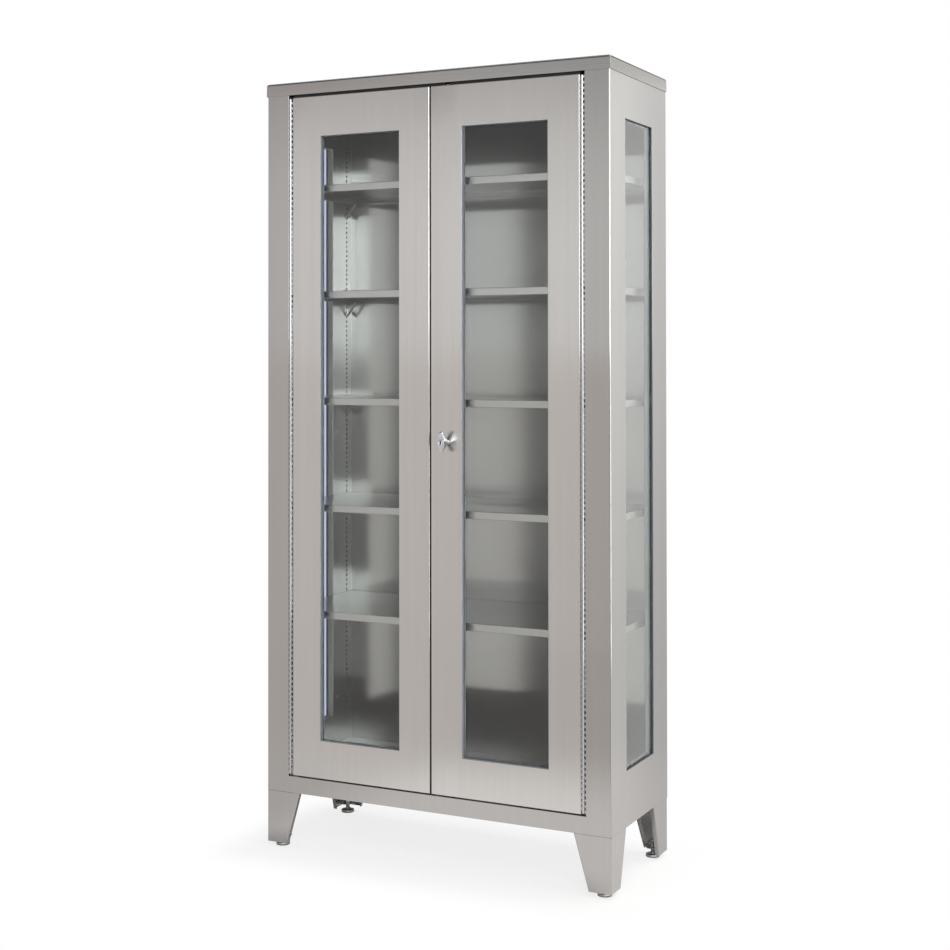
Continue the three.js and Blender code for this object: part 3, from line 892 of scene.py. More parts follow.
class CABINET_OT_top_cap(CabinetOperator):
    """The cap that closes the top, with its skirt turned down"""

    bl_idname = "cabinet.top_cap"
    bl_label = "Top cap"

    def execute(self, context):
        s = self.sheets
        low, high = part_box("top_cap")
        top = high.z - MERGE
        bm = bmesh.new()
        block(bm, low, high)
        below = [face for face in bm.faces if face.normal.z < -FACING]
        bmesh.ops.delete(bm, geom=below, context="FACES_ONLY")
        for vert in bm.verts:
            if vert.co.z > top:
                vert.co.x -= math.copysign(s.cap_lean, vert.co.x)
        round_off(bm, bend_edges(bm, lambda edge: middle(edge).z > top), s.cap_bend, 5)
        round_off(bm, bend_edges(bm), s.post_bend, 2)
        face_out(bm, (0, 0, 1))
        piece_of(
            "top_cap_sheet", bm, "cabinet", "brushed_steel", "brushed_across", ["top_cap"], s.sheet
        )
        return {"FINISHED"}


BASE_EDGE, BACK_EDGE = 0.0004, 0.0003  # Rounding of the flat sheets' edges


class CABINET_OT_rails_and_floor(CabinetOperator):
    """Rails above and below the doors, the deck, the base pan and the back sheet"""

    bl_idname = "cabinet.rails_and_floor"
    bl_label = "Rails and floor"

    def execute(self, context):
        s = self.sheets
        rows = (
            ("front_rail", "brushed_body", "brushed_steel", s.edge_bend),
            ("header_rail", "brushed_across", "brushed_steel", s.edge_bend),
            ("bottom_deck", "bright_shelf", "polished_steel", s.edge_bend),
            ("base_pan", "brushed_across", "brushed_steel", BASE_EDGE),
            ("back_panel", "bright_sheet", "polished_steel", BACK_EDGE),
        )
        for node, finish, slot, radius in rows:
            bm = softened(node, radius)
            if node == "front_rail":
                # The rail's ends fill the hollow beside the posts' bends
                for vert in bm.verts:
                    if abs(vert.co.x) > POST_EDGE - MERGE:
                        vert.co.x += math.copysign(s.post_bend, vert.co.x)
            piece_of(f"{node}_sheet", bm, "cabinet", slot, finish, [node])
        return {"FINISHED"}


# Holes in the right door: the spindle hole's radius or the gap round a rod, the facets, and
# half the square cell that is cut for the hole
SPINDLE_HOLE, SPINDLE_SIDES, SPINDLE_CELL = 0.0055, 16, 0.012
ROD_GAP, ROD_SIDES, ROD_CELL = 0.0004, 12, 0.0055


class CABINET_OT_doors(CabinetOperator):
    """Door pans with turned edges, and the liners that hold the panes from inside"""

    bl_idname = "cabinet.doors"
    bl_label = "Doors"

    def execute(self, context):
        s = self.sheets
        lap = s.pane_lap
        spindle, rod = centre_of("handle"), centre_of("upper_latch_rod")
        rod_low, rod_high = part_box("upper_latch_rod")
        rod_hole = (rod_high.x - rod_low.x) / 2 + ROD_GAP
        for name, side in SIDES:
            near, far = sorted((side * DOOR_LOW.x, side * DOOR_HIGH.x))
            left, right = sorted((side * (DOOR_PANE_LOW.x + lap), side * (DOOR_PANE_HIGH.x - lap)))
            low = Vector((left, 0, DOOR_PANE_LOW.z + lap))
            high = Vector((right, 0, DOOR_PANE_HIGH.z - lap))
            bm = rectangle((near, 0, DOOR_LOW.z), (far, 0, DOOR_HIGH.z), 1, DOOR_LOW.y)
            push_edges(bm, bm.edges[:], along(1, DOOR_HIGH.y - DOOR_LOW.y))
            round_off(bm, bend_edges(bm), s.edge_bend, 3)
            rim = open_window(bm, 1, DOOR_LOW.y, low, high, DOOR_PANE_LOW.y - DOOR_LOW.y)
            round_off(bm, rim, s.window_bend, 2)
            if side > 0:
                centre = (spindle.x, DOOR_LOW.y, spindle.z)
                pierce(bm, 1, centre, SPINDLE_HOLE, SPINDLE_SIDES, SPINDLE_CELL)
                for z in (DOOR_LOW.z, DOOR_HIGH.z):
                    pierce(bm, 2, (rod.x, rod.y, z), rod_hole, ROD_SIDES, ROD_CELL)
            face_out(bm, (0, -1, 0))
            piece_of(
                f"{name}_door_face", bm, f"{name}_door", "brushed_steel", "brushed_door",
                [f"{name}_door_pan"], s.sheet,
            )
            liner_low, liner_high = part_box(f"{name}_door_liner")
            bm = rectangle(liner_low, liner_high, 1, liner_high.y)
            rim = open_window(bm, 1, liner_high.y, low, high, DOOR_PANE_HIGH.y - liner_high.y)
            round_off(bm, rim, s.window_bend, 2)
            face_out(bm, (0, 1, 0))
            piece_of(
                f"{name}_door_liner_sheet", bm, f"{name}_door", "brushed_steel", "brushed_door",
                [f"{name}_door_liner"], s.sheet,
            )
        return {"FINISHED"}


class CABINET_OT_panes(CabinetOperator):
    """Glass panes with ground edges"""

    bl_idname = "cabinet.panes"
    bl_label = "Panes"

    def execute(self, context):
        for name, _ in SIDES:
            for place, body in (("side", "cabinet"), ("door", f"{name}_door")):
                node = f"{name}_{place}_glass"
                bm = bmesh.new()
                rounded_block(bm, *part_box(node), self.sheets.pane_edge, 1)
                close_up(bm)
                piece_of(f"{name}_{place}_pane", bm, body, "glass", "clear_glass", [node])
        return {"FINISHED"}


STRIP_LIP = 0.4  # Rounding of a strip's lip, as a share of its thickness


class CABINET_OT_seals(CabinetOperator):
    """Strips that seat the panes, and rubber seals in the gaps above and between the doors"""

    bl_idname = "cabinet.seals"
    bl_label = "Seals"

    def execute(self, context):
        s = self.sheets
        inset, lap = s.window_bend, Vector((s.pane_lap, s.pane_lap, s.pane_lap))
        for name, side in SIDES:
            door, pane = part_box(f"{name}_door_glass"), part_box(f"{name}_side_glass")
            inner, outer = pane[::side]
            front_y, back_y = DOOR_LOW.y + inset, DOOR_HIGH.y - inset
            skin_x, liner_x = side * (HALF_WIDTH - inset), side * (LINER_FACE + inset)
            rows = (
                ("door_bead", "zinc_steel", "dull_bead", door, 1, front_y, door[0].y),
                # The strip behind the door pane is lightened: painted light
                ("door_inner_bead", "zinc_steel", "glazing_tape", door, 1, back_y, door[1].y),
                ("pane_seal", "black_rubber", "pane_seal", pane, 0, skin_x, outer.x),
                ("pane_bead", "zinc_steel", "inner_bead", pane, 0, liner_x, inner.x),
            )
            for label, slot, finish, glass, axis, near, far in rows:
                body, thick = (f"{name}_door", s.strip) if axis else ("cabinet", s.strip / 2)
                bm = self.loop_strip(glass[0] + lap, glass[1] - lap, axis, near, far, thick)
                piece_of(f"{name}_{label}", bm, body, slot, finish)
        # Painted shade: near-black strips deep in the gaps between and above the doors
        depth = DOOR_LOW.y + s.seal_setback
        start = (-DOOR_LOW.x, depth, DOOR_LOW.z + s.seal_end)
        end = (DOOR_LOW.x - s.seal_gap, DOOR_HIGH.y - s.seal_end, DOOR_HIGH.z - s.seal_end)
        self.long_seal("meeting_seal", "left_door", [(start, end)])
        rod_low, rod_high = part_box("upper_latch_rod")
        low_z, high_z = DOOR_HIGH.z + s.seal_gap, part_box("top_cap")[0].z
        spans = ((-DOOR_HIGH.x, rod_low.x - s.seal_gap), (rod_high.x + s.seal_gap, DOOR_HIGH.x))
        self.long_seal(
            "header_seal", "cabinet",
            [((start, depth, low_z), (end, POST_BACK, high_z)) for start, end in spans],
        )
        return {"FINISHED"}

    def loop_strip(self, low, high, axis, near, far, thick):
        """A strip round the inside of a window, from one depth to another."""
        bm = bmesh.new()
        rings = [
            [bm.verts.new(corner) for corner in corner_loop(low, high, axis, depth, drawn_in)]
            for drawn_in, depth in ((0, near), (thick, near), (thick, far), (0, far))
        ]
        for first, second in zip(rings, rings[1:] + rings[:1]):
            for index in range(4):
                after = (index + 1) % 4
                bm.faces.new((first[index], first[after], second[after], second[index]))
        lip = [bm.edges.get((rings[1][index - 1], rings[1][index])) for index in range(4)]
        round_off(bm, lip, thick * STRIP_LIP, 2)
        close_up(bm)
        return bm

    def long_seal(self, name, body, spans):
        """Straight rubber seals with rounded edges, each between two corners."""
        bm = bmesh.new()
        for low, high in spans:
            rounded_block(bm, low, high, self.sheets.seal_gap / 2, 2)
        close_up(bm)
        piece_of(name, bm, body, "black_rubber", "black_rubber")


LEAF_EDGE = 0.0003  # Rounding of a leaf's edges
PIN_CROWN, PIN_TAIL = 0.0012, 0.0004  # How far the pin stands out at its top and bottom
PIN_DOME = (0.8, 0.7)  # Shares of the pin's radius and of its crown


class CABINET_OT_hinges(CabinetOperator):
    """Continuous hinges whose knuckles repeat every half inch"""

    bl_idname = "cabinet.hinges"
    bl_label = "Hinges"

    def execute(self, context):
        h = context.scene.cabinet_hinges
        axis = {j["child"]: j["pos_m"] for j in frame["joints"] if j["child"].endswith("_door")}
        for name, side in SIDES:
            x, y = axis[f"{name}_door"][:2]
            centre, back = Matrix.Translation((x, y, 0)), y + h.barrel_radius
            for leaf, body, first in (("frame", "cabinet", 0), ("door", f"{name}_door", 1)):
                node = f"{name}_hinge_{leaf}_leaf"
                low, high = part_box(node)
                seat = side * (POST_EDGE if leaf == "frame" else DOOR_HIGH.x)
                edge = seat - math.copysign(h.leaf_sheet, seat - x)
                count = 2 * int((high.z - low.z) / h.knuckle_pitch / 2) + 1
                pitch = (high.z - low.z) / count
                bm = bmesh.new()
                rounded_block(bm, (edge, back, low.z), (seat, high.y, high.z), LEAF_EDGE, 1)
                for index in range(first, count, 2):
                    start = low.z + index * pitch + h.knuckle_gap / 2
                    end = low.z + (index + 1) * pitch - h.knuckle_gap / 2
                    barrel = [(h.bore_radius, start), (h.barrel_radius, start)]
                    barrel += [(h.barrel_radius, end), (h.bore_radius, end), (h.bore_radius, start)]
                    lathe(bm, barrel, h.barrel_sides, centre)
                    block(bm, (x, back - h.leaf_sheet, start), (seat, back, end))
                if leaf == "frame":
                    pin = [(0, high.z + PIN_CROWN)]
                    pin.append((h.pin_radius * PIN_DOME[0], high.z + PIN_CROWN * PIN_DOME[1]))
                    pin += [(h.pin_radius, high.z), (h.pin_radius, low.z), (0, low.z - PIN_TAIL)]
                    lathe(bm, pin, h.barrel_sides, centre)
                close_up(bm)
                label = f"{name}_hinge_{leaf}_knuckles"
                piece_of(label, bm, body, "polished_steel", "hinge_steel", [node])
        return {"FINISHED"}


# The handle's profile from the lock outwards. The second number is a depth behind the face
LOCK_LIP = ((0, 0.0004), (0.0004, 0), (0.0016, 0), (0.0021, 0.0004))  # Steps out from the bore
FACE_CROWN = ((0.6, 0.0004), (0.88, 0.0007))  # Shares of the way to the tip
FACE_RIM = ((0.0012, 0.0012), (0.0003, 0.0020), (0, 0.0030))  # Steps in from the tip
RIM_BACK = 0.0006
FLARE_STEPS = 12
STEM_FOOT = ((0, 0.0035), (0.0008, 0.0014), (0.0010, 0.0003))  # Steps out, height off the door
LOCK_COLLAR = 0.0023  # Round part outside the bore
LOCK_EDGE, LOCK_SIDES = 0.0004, 32


class CABINET_OT_handle(CabinetOperator):
    """Chrome handle with flared wings, and the lock plug in its face"""

    bl_idname = "cabinet.handle"
    bl_label = "Handle and lock"

    def execute(self, context):
        h = context.scene.cabinet_handle
        centre = centre_of("handle")
        self.turn_handle(h, centre)
        self.cut_lock(h, centre)
        self.fit_flap(h, centre)
        return {"FINISHED"}

    def turn_handle(self, h, centre):
        """Turns the handle round, then slims it to its two wings."""
        low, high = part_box("handle")
        tip, wide = (high.z - low.z) / 2, (high.x - low.x) / 2
        face, back = low.y, low.y + h.face_edge
        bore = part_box("lock_plug")[1].y + h.bore_gap
        profile = [(0, bore), (h.bore_radius, bore)]
        profile += [(h.bore_radius + out, face + sunk) for out, sunk in LOCK_LIP]
        profile += [(tip * share, face + sunk) for share, sunk in FACE_CROWN]
        profile += [(tip - inset, face + sunk) for inset, sunk in FACE_RIM]
        profile.append((tip - RIM_BACK, back))
        for share in evenly(0, 1, FLARE_STEPS + 1)[1:]:
            swell = (tip - h.stem_radius) * (1 - share) ** h.flare_power
            profile.append((h.stem_radius + swell, back + h.flare * share))
        profile += [(h.stem_radius + out, FRONT - rise) for out, rise in STEM_FOOT]
        profile.append((h.spindle_radius, FRONT - STEM_FOOT[-1][1]))
        profile += [(h.spindle_radius, high.y), (0, high.y)]
        bm = bmesh.new()
        lathe(bm, profile, h.sides, Matrix.Rotation(-QUARTER, 4, "X"))
        collar = h.bore_radius + LOCK_COLLAR
        for vert in bm.verts:
            reach = math.hypot(vert.co.x, vert.co.z)
            if reach > collar:
                slim = collar + (reach - collar) * (wide - collar) / (tip - collar)
                vert.co.x *= slim / reach
        bmesh.ops.translate(bm, verts=bm.verts[:], vec=(centre.x, 0, centre.z))
        close_up(bm)
        # How much each spot looks to the rear, for the painted shade on the handle's back
        behind = bm.verts.layers.float.new(BEHIND)
        for vert in bm.verts:
            vert[behind] = vert.normal.y
        piece_of("wing_handle", bm, "handle", "chrome", "chrome_plate", ["handle"])

    def cut_lock(self, h, centre):
        """Makes the lock plug from a round face with a keyhole."""
        low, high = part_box("lock_plug")
        radius = (high.x - low.x) / 2
        inner = radius - LOCK_EDGE
        place = Matrix.Translation((centre.x, low.y, centre.z)) @ ACROSS[1]
        bm = bmesh.new()
        ring = bmesh.ops.create_circle(
            bm, cap_ends=False, segments=LOCK_SIDES, radius=inner, matrix=place
        )
        rim = edges_of(ring["verts"])
        slot = bmesh.ops.create_grid(
            bm, x_segments=1, y_segments=1, size=0.5,
            matrix=place @ Matrix.Diagonal((h.key_width, h.key_length, 1, 1)),
        )["verts"]
        key = edges_of(slot)
        bmesh.ops.delete(bm, geom=list(faces_of(slot)), context="FACES_ONLY")
        bmesh.ops.triangle_fill(bm, edges=list(rim | key), use_beauty=True, normal=(0, -1, 0))
        push_edges(bm, list(key), along(1, h.key_depth))
        deep = low.y + h.key_depth / 2
        bmesh.ops.holes_fill(
            bm, edges=[edge for edge in bm.edges if edge.is_boundary and middle(edge).y > deep]
        )
        pivot = Matrix.Translation((-centre.x, 0, -centre.z))
        for grow, move in ((radius / inner, LOCK_EDGE), (1.0, high.y - low.y - LOCK_EDGE)):
            made = push_edges(bm, list(rim), along(1, move))
            bmesh.ops.scale(bm, verts=vert_parts(made), vec=(grow, 1, grow), space=pivot)
            rim = {
                part for part in made if isinstance(part, bmesh.types.BMEdge) and part.is_boundary
            }
        bmesh.ops.holes_fill(bm, edges=list(rim))
        close_up(bm)
        piece_of("key_lock", bm, "lock", "chrome", "lock_face", ["lock_plug"])

    def fit_flap(self, h, centre):
        """Closes the keyhole with a dark flap."""
        half = Vector((h.key_width / 2 - h.flap_fit, 0, h.key_length / 2 - h.flap_fit))
        place = Vector((centre.x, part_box("lock_plug")[0].y, centre.z))
        near, far = place - half + along(1, h.flap_sink), place + half + along(1, h.key_depth)
        bm = bmesh.new()
        rounded_block(bm, near, far, h.flap_fit, 2)
        close_up(bm)
        piece_of("keyhole_flap", bm, "lock", "black_rubber", "black_rubber")


CAM_EDGE, CAM_WIDE = 0.0003, 0.0005
ROD_POINT, ROD_TAPER = 0.001, 0.008  # Radius and length of a rod's pointed end
ROD_END = ((0, 0.0010), (0.0006, 0.0003), (0.0014, 0))  # Steps in and down at the other end
ROD_FACETS = 20


class CABINET_OT_latch(CabinetOperator):
    """Latch cam and rods inside the right door"""

    bl_idname = "cabinet.latch"
    bl_label = "Latch"

    def execute(self, context):
        bm = softened("latch_cam", CAM_EDGE, CAM_WIDE)
        piece_of("cam_plate", bm, "handle", "zinc_steel", "zinc_plate", ["latch_cam"])
        for name, turn in (("upper", 0), ("lower", math.pi)):
            node = f"{name}_latch_rod"
            low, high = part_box(node)
            radius, half = (high.x - low.x) / 2, (high.z - low.z) / 2
            profile = [(0, -half), (ROD_POINT, -half), (radius, ROD_TAPER - half)]
            profile += [(radius - inset, half - drop) for inset, drop in ROD_END]
            profile.append((0, half))
            bm = bmesh.new()
            place = Matrix.Translation(centre_of(node)) @ Matrix.Rotation(turn, 4, "X")
            lathe(bm, profile, ROD_FACETS, place)
            close_up(bm)
            piece_of(f"{name}_rod_bar", bm, f"{name}_rod", "zinc_steel", "zinc_plate", [node])
        return {"FINISHED"}


class CABINET_OT_shelves(CabinetOperator):
    """Five shelves with turned lips and hems"""

    bl_idname = "cabinet.shelves"
    bl_label = "Shelves"

    def execute(self, context):
        s = self.sheets
        for number in SHELVES:
            node = f"shelf_{number}"
            bm = bmesh.new()
            block(bm, *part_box(node))
            below = [face for face in bm.faces if face.normal.z < -FACING]
            bmesh.ops.inset_region(bm, faces=below, thickness=s.shelf_hem, use_even_offset=True)
            bmesh.ops.delete(bm, geom=below, context="FACES")
            round_off(bm, bend_edges(bm), s.shelf_bend, 3)
            face_out(bm, (0, 0, 1))
            piece_of(
                f"{node}_tray", bm, node, "polished_steel", "bright_shelf", [node], s.shelf_sheet
            )
        return {"FINISHED"}


CLIP_STRIP, CLIP_WALL = 0.002, 0.0012
CLIP_BEND, CLIP_EDGE = 0.0009, 0.0006
CLIP_HOLES = 3  # Hole pitches from a clip's upper hook to its foot
HOOK, HOOK_LAP = 0.004, 0.001


class CABINET_OT_clips(CabinetOperator):
    """Shelf clips bent from strip, hooked in the holes"""

    bl_idname = "cabinet.clips"
    bl_label = "Shelf clips"

    def execute(self, context):
        drop = CLIP_HOLES * self.punches.hole_pitch
        for number, end, (name, side) in product(SHELVES, ENDS, SIDES):
            node = f"shelf_{number}_clip_{end}_{name}"
            low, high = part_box(node)
            centre, top = (low.y + high.y) / 2, high.z
            wall = side * LINER_FACE
            reach = low.x if side > 0 else high.x
            shoulder = top - CLIP_STRIP / 2
            line = [
                (wall, top), (reach, top), (reach, top - CLIP_STRIP),
                (wall - side * CLIP_STRIP, top - drop), (wall, top - drop),
            ]
            bm = folded(line, 1, low.y, high.y)
            on_shoulder = bend_edges(bm, lambda edge, at=shoulder: middle(edge).z > at)
            round_off(bm, on_shoulder, CLIP_BEND, 3)
            round_off(bm, bend_edges(bm), CLIP_EDGE, 2)
            face_out(bm, (0, 0, 1))
            for hook in (top, top - drop + CLIP_STRIP):
                near = (wall - side * HOOK_LAP, centre - HOOK / 2, hook - CLIP_STRIP)
                tab = block(bm, near, (wall + side * HOOK, centre + HOOK / 2, hook))
                bmesh.ops.recalc_face_normals(bm, faces=list(faces_of(tab)))
            piece_of(
                f"shelf_{number}_bracket_{end}_{name}", bm, "cabinet", "polished_steel",
                "bright_small", [node], CLIP_WALL,
            )
        return {"FINISHED"}


LEG_TAPER = 0.036
PLATE_RISE, PLATE_WIDTH, PLATE_CUT, PLATE_EDGE = 0.012, 0.050, 0.018, 0.0004
FLANGE_WIDTH = 0.070
NUT_RADIUS, NUT_HEIGHT = 0.0095, 0.008


class CABINET_OT_legs(CabinetOperator):
    """Tapered legs with returned edges, mounting flange and foot plate"""

    bl_idname = "cabinet.legs"
    bl_label = "Legs"

    def execute(self, context):
        s = self.sheets
        for name, side, rear in CORNERS:
            node = f"{name}_leg"
            low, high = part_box(node)
            out_x, in_x = (high.x, low.x) if side > 0 else (low.x, high.x)
            out_y, in_y = (high.y, low.y) if rear else (low.y, high.y)
            way_x, way_y = math.copysign(1, in_x - out_x), math.copysign(1, in_y - out_y)
            top = high.z - s.leg_seam
            walls = (
                ((in_x - way_x * LEG_TAPER, out_y), (in_x, out_y)),
                ((out_x, in_y - way_y * LEG_TAPER), (out_x, in_y)),
            )
            bm = bmesh.new()
            corner = [bm.verts.new((out_x, out_y, z)) for z in (low.z, top)]
            tips = []
            for foot, head in walls:
                tip = [bm.verts.new((*foot, low.z)), bm.verts.new((*head, top))]
                bm.faces.new((corner[0], *tip, corner[1]))
                tips.append(bm.edges.get(tip))
            push_edges(bm, tips[:1], along(1, way_y * s.leg_return))
            push_edges(bm, tips[1:], along(0, way_x * s.leg_return))
            round_off(bm, [bm.edges.get(corner)], s.leg_bend, 5)
            round_off(bm, [edge for edge in tips if edge.is_valid], s.edge_bend, 3)
            face_out(bm, (-way_x, 0, 0))
            piece_of(
                f"{name}_leg_angle", bm, "cabinet", "brushed_steel", "brushed_body",
                [node], s.leg_sheet,
            )

            def spot(along_x, along_y):
                return out_x + way_x * along_x, out_y + way_y * along_y

            slant = PLATE_WIDTH - PLATE_CUT
            near, base = s.leg_sheet, low.z + PLATE_RISE
            outline = (
                (near, near), (PLATE_WIDTH, near), (PLATE_WIDTH, slant),
                (slant, PLATE_WIDTH), (near, PLATE_WIDTH),
            )
            bm = bmesh.new()
            plate = bm.faces.new([bm.verts.new((*spot(*place), base)) for place in outline])
            made = bmesh.ops.extrude_face_region(bm, geom=[plate], use_keep_orig=True)["geom"]
            bmesh.ops.translate(bm, verts=vert_parts(made), vec=along(2, s.leg_sheet))
            stud = centre_of(f"{name}_foot")
            nut = (stud.x, stud.y, base + s.leg_sheet + NUT_HEIGHT / 2)
            bmesh.ops.create_cone(
                bm, cap_ends=True, segments=6, radius1=NUT_RADIUS, radius2=NUT_RADIUS,
                depth=NUT_HEIGHT, matrix=Matrix.Translation(nut),
            )
            reach = spot(FLANGE_WIDTH, FLANGE_WIDTH)
            block(bm, (*spot(near, near), high.z - s.leg_sheet), (*reach, high.z))
            round_off(bm, bend_edges(bm), PLATE_EDGE, 1)
            close_up(bm)
            piece_of(f"{name}_leg_plates", bm, "cabinet", "zinc_steel", "zinc_plate")
        return {"FINISHED"}


# A foot's disc as steps in from its rim and heights, then its neck as radii and heights
DISC_STEPS = (
    (0.0022, 0), (0.0008, 0.0005), (0, 0.0018), (0, 0.0056), (0.0006, 0.0068), (0.0020, 0.0074),
)
DISC_CROWN = (0.55, 0.0080)  # Share of the disc's radius, height
NECK_STEPS = ((0.0088, 0.0086), (0.0080, 0.0100))
STUD_RADIUS, STUD_FOOT, STUD_END = 0.005, 0.0104, 0.001
THREAD_FOOT, THREAD_PITCH, THREAD_DEPTH = 0.0108, 0.0015, 0.0008
FOOT_SIDES = 28


class CABINET_OT_feet(CabinetOperator):
    """Levelling feet: a disc on a threaded stud"""

    bl_idname = "cabinet.feet"
    bl_label = "Levelling feet"

    def execute(self, context):
        for name, _, _ in CORNERS:
            node = f"{name}_foot"
            low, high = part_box(node)
            centre, disc = centre_of(node), (high.y - low.y) / 2
            profile = [(0, low.z)]
            profile += [(disc - inset, low.z + height) for inset, height in DISC_STEPS]
            profile.append((disc * DISC_CROWN[0], low.z + DISC_CROWN[1]))
            profile += [(radius, low.z + height) for radius, height in NECK_STEPS]
            profile.append((STUD_RADIUS, low.z + STUD_FOOT))
            height = low.z + THREAD_FOOT
            while height < high.z - 2 * THREAD_PITCH:
                root = (STUD_RADIUS - THREAD_DEPTH, height + THREAD_PITCH / 2)
                profile += [(STUD_RADIUS, height), root]
                height += THREAD_PITCH
            profile += [(STUD_RADIUS, height), (STUD_RADIUS - STUD_END, high.z), (0, high.z)]
            bm = bmesh.new()
            lathe(bm, profile, FOOT_SIDES, Matrix.Translation((centre.x, centre.y, 0)))
            close_up(bm)
            piece_of(f"{name}_levelling_foot", bm, node, "zinc_steel", "zinc_plate", [node])
        return {"FINISHED"}


# A head's dome as shares of its radius and heights
HEAD_DOME = ((0.40, 0.0016), (0.72, 0.0012), (0.95, 0.0006), (1, 0))
HEAD_RECESS, HEAD_ROOT, HEAD_SIDES = 0.36, 0.0008, 14
SCREW_SINK, RIVET_SINK = 0.0009, 0.0006
RIVET_INSET, RIVET_LOW, RIVET_HIGH, RIVETS = 0.016, 0.06, 0.08, 9
DOOR_SCREW_OUT, DOOR_SCREW_END, DOOR_SCREWS = 0.014, 0.01, 7
LINER_SCREW_OUT, LINER_SCREW_END, LINER_SCREWS = 0.006, 0.06, 5


class CABINET_OT_fasteners(CabinetOperator):
    """Screws in the liners and rivets along the back"""

    bl_idname = "cabinet.fasteners"
    bl_label = "Screws and rivets"

    def set_heads(self, name, body, kind, turn, places):
        """One piece with a head at each place."""
        if kind == "rivet":
            slot, finish, radius, sink = (
                "polished_steel", "bright_small", self.punches.rivet_radius, RIVET_SINK
            )
        else:
            slot, finish, radius, sink = (
                "zinc_steel", "zinc_plate", self.punches.screw_radius, SCREW_SINK
            )
        floor = HEAD_DOME[0][1] - sink
        profile = [(0, floor), (radius * HEAD_RECESS, floor)]
        profile += [(radius * share, height) for share, height in HEAD_DOME]
        profile += [(radius, -HEAD_ROOT), (0, -HEAD_ROOT)]
        bm = bmesh.new()
        for place in places:
            lathe(bm, profile, HEAD_SIDES, Matrix.Translation(place) @ turn)
        close_up(bm)
        piece_of(name, bm, body, slot, finish)

    def execute(self, context):
        to_rear = Matrix.Rotation(-QUARTER, 4, "X")
        edge = HALF_WIDTH - RIVET_INSET
        levels = evenly(BODY_LOW + RIVET_LOW, BODY_HIGH - RIVET_HIGH, RIVETS)
        places = [(x, REAR, z) for x in (-edge, edge) for z in levels]
        self.set_heads("back_rivets", "cabinet", "rivet", to_rear, places)
        for name, side in SIDES:
            low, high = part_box(f"{name}_door_glass")
            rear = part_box(f"{name}_door_liner")[1].y
            columns = (low.x - DOOR_SCREW_OUT, high.x + DOOR_SCREW_OUT)
            levels = evenly(low.z - DOOR_SCREW_END, high.z + DOOR_SCREW_END, DOOR_SCREWS)
            places = [(x, rear, z) for x in columns for z in levels]
            self.set_heads(f"{name}_door_screws", f"{name}_door", "screw", to_rear, places)
            low, high = SIDE_PANE_LOW, SIDE_PANE_HIGH
            to_middle = Matrix.Rotation(-side * QUARTER, 4, "Y")
            columns = (low.y - LINER_SCREW_OUT, high.y + LINER_SCREW_OUT)
            levels = evenly(low.z + LINER_SCREW_END, high.z - LINER_SCREW_END, LINER_SCREWS)
            places = [(side * LINER_FACE, y, z) for y in columns for z in levels]
            self.set_heads(f"{name}_liner_screws", "cabinet", "screw", to_middle, places)
        return {"FINISHED"}


# Where the room's tones meet: two ends of a soft change along one axis of a direction
EYE_LEVEL = (-0.011, 0.005)
AHEAD, FAR_LEFT = (-0.43, -0.36), (-0.46, -0.54)
FRONT_RISE, FRONT_CEILING = (0.08, 0.22), (0.3, 0.55)
SCREEN, SCREEN_END = (0.15, 0.4), (0.66, 0.78)
LOW_SCREEN, LOW_SCREEN_END = (0.36, 0.42), (0.58, 0.66)
BACKDROP_RISE, BACKDROP_TOP = (-0.22, 0.155), (0.170, 0.184)
BACK_CEILING, BACK_LEFT = (0.26, 0.40), (-0.35, -0.5)
FRONT_TO_BACK, OVERHEAD = (-0.3, 0.4), (0.66, 0.86)

# How much darker the room is ahead of the doors, and low at the far left
AHEAD_DARK, LOW_AHEAD_DARK, LOW_LEFT_DARK = 0.10, 0.15, 0.07


def room_tone(wire, look, way):
    """The studio's tone in a direction, as metal and glass show it."""

    def over(tone, share, name):
        return wire.blend(share, tone, opaque(getattr(look, name)))

    wide, deep, high = way.part("X"), way.part("Y"), way.part("Z")
    ahead, far_left = wide.span(*AHEAD), wide.span(*FAR_LEFT)
    tall = over(opaque(look.front_tone), high.span(*FRONT_RISE), "front_high")
    tall = wire.blend(ahead * AHEAD_DARK, tall, BLACK)
    tall = wire.blend(far_left, tall, opaque(look.left_wall), "MULTIPLY")
    tall = over(tall, wide.span(*SCREEN), "screen_tone")
    tall = over(tall, wide.span(*SCREEN_END), "side_tone")
    low = wire.blend(ahead * LOW_AHEAD_DARK, opaque(look.front_low), BLACK)
    low = wire.blend(far_left * LOW_LEFT_DARK, low, BLACK)
    low = over(low, wide.span(*LOW_SCREEN), "screen_low")
    low = over(low, wide.span(*LOW_SCREEN_END), "side_tone")
    front = wire.blend(high.span(*EYE_LEVEL), low, tall)
    front = over(front, high.span(*FRONT_CEILING), "ceiling_tone")
    back = over(opaque(look.back_low), high.span(*BACKDROP_RISE), "back_tone")
    back = over(back, high.span(*BACKDROP_TOP), "back_high")
    back = over(back, high.span(*BACK_CEILING), "ceiling_tone")
    back = over(back, wide.span(*BACK_LEFT), "left_tone")
    room = wire.blend(deep.span(*FRONT_TO_BACK), front, back)
    return over(room, high.span(*OVERHEAD), "overhead_tone")


FLOOR_RADIUS, FLOOR_SIDES = 3, 96
FLOOR_TILT = (0, 0, -0.25)  # What the floor shows lies this much below the horizon
SHADOW_REACH, NEAR_FLOOR = (0.0, 0.16), (0.5, 1.3)  # Distances from the cabinet
FLOOR_LEFT = (-0.66, -0.33)  # Where the tone near the cabinet changes from left to right
SHADOW = 0.2  # How much of the shadow shows

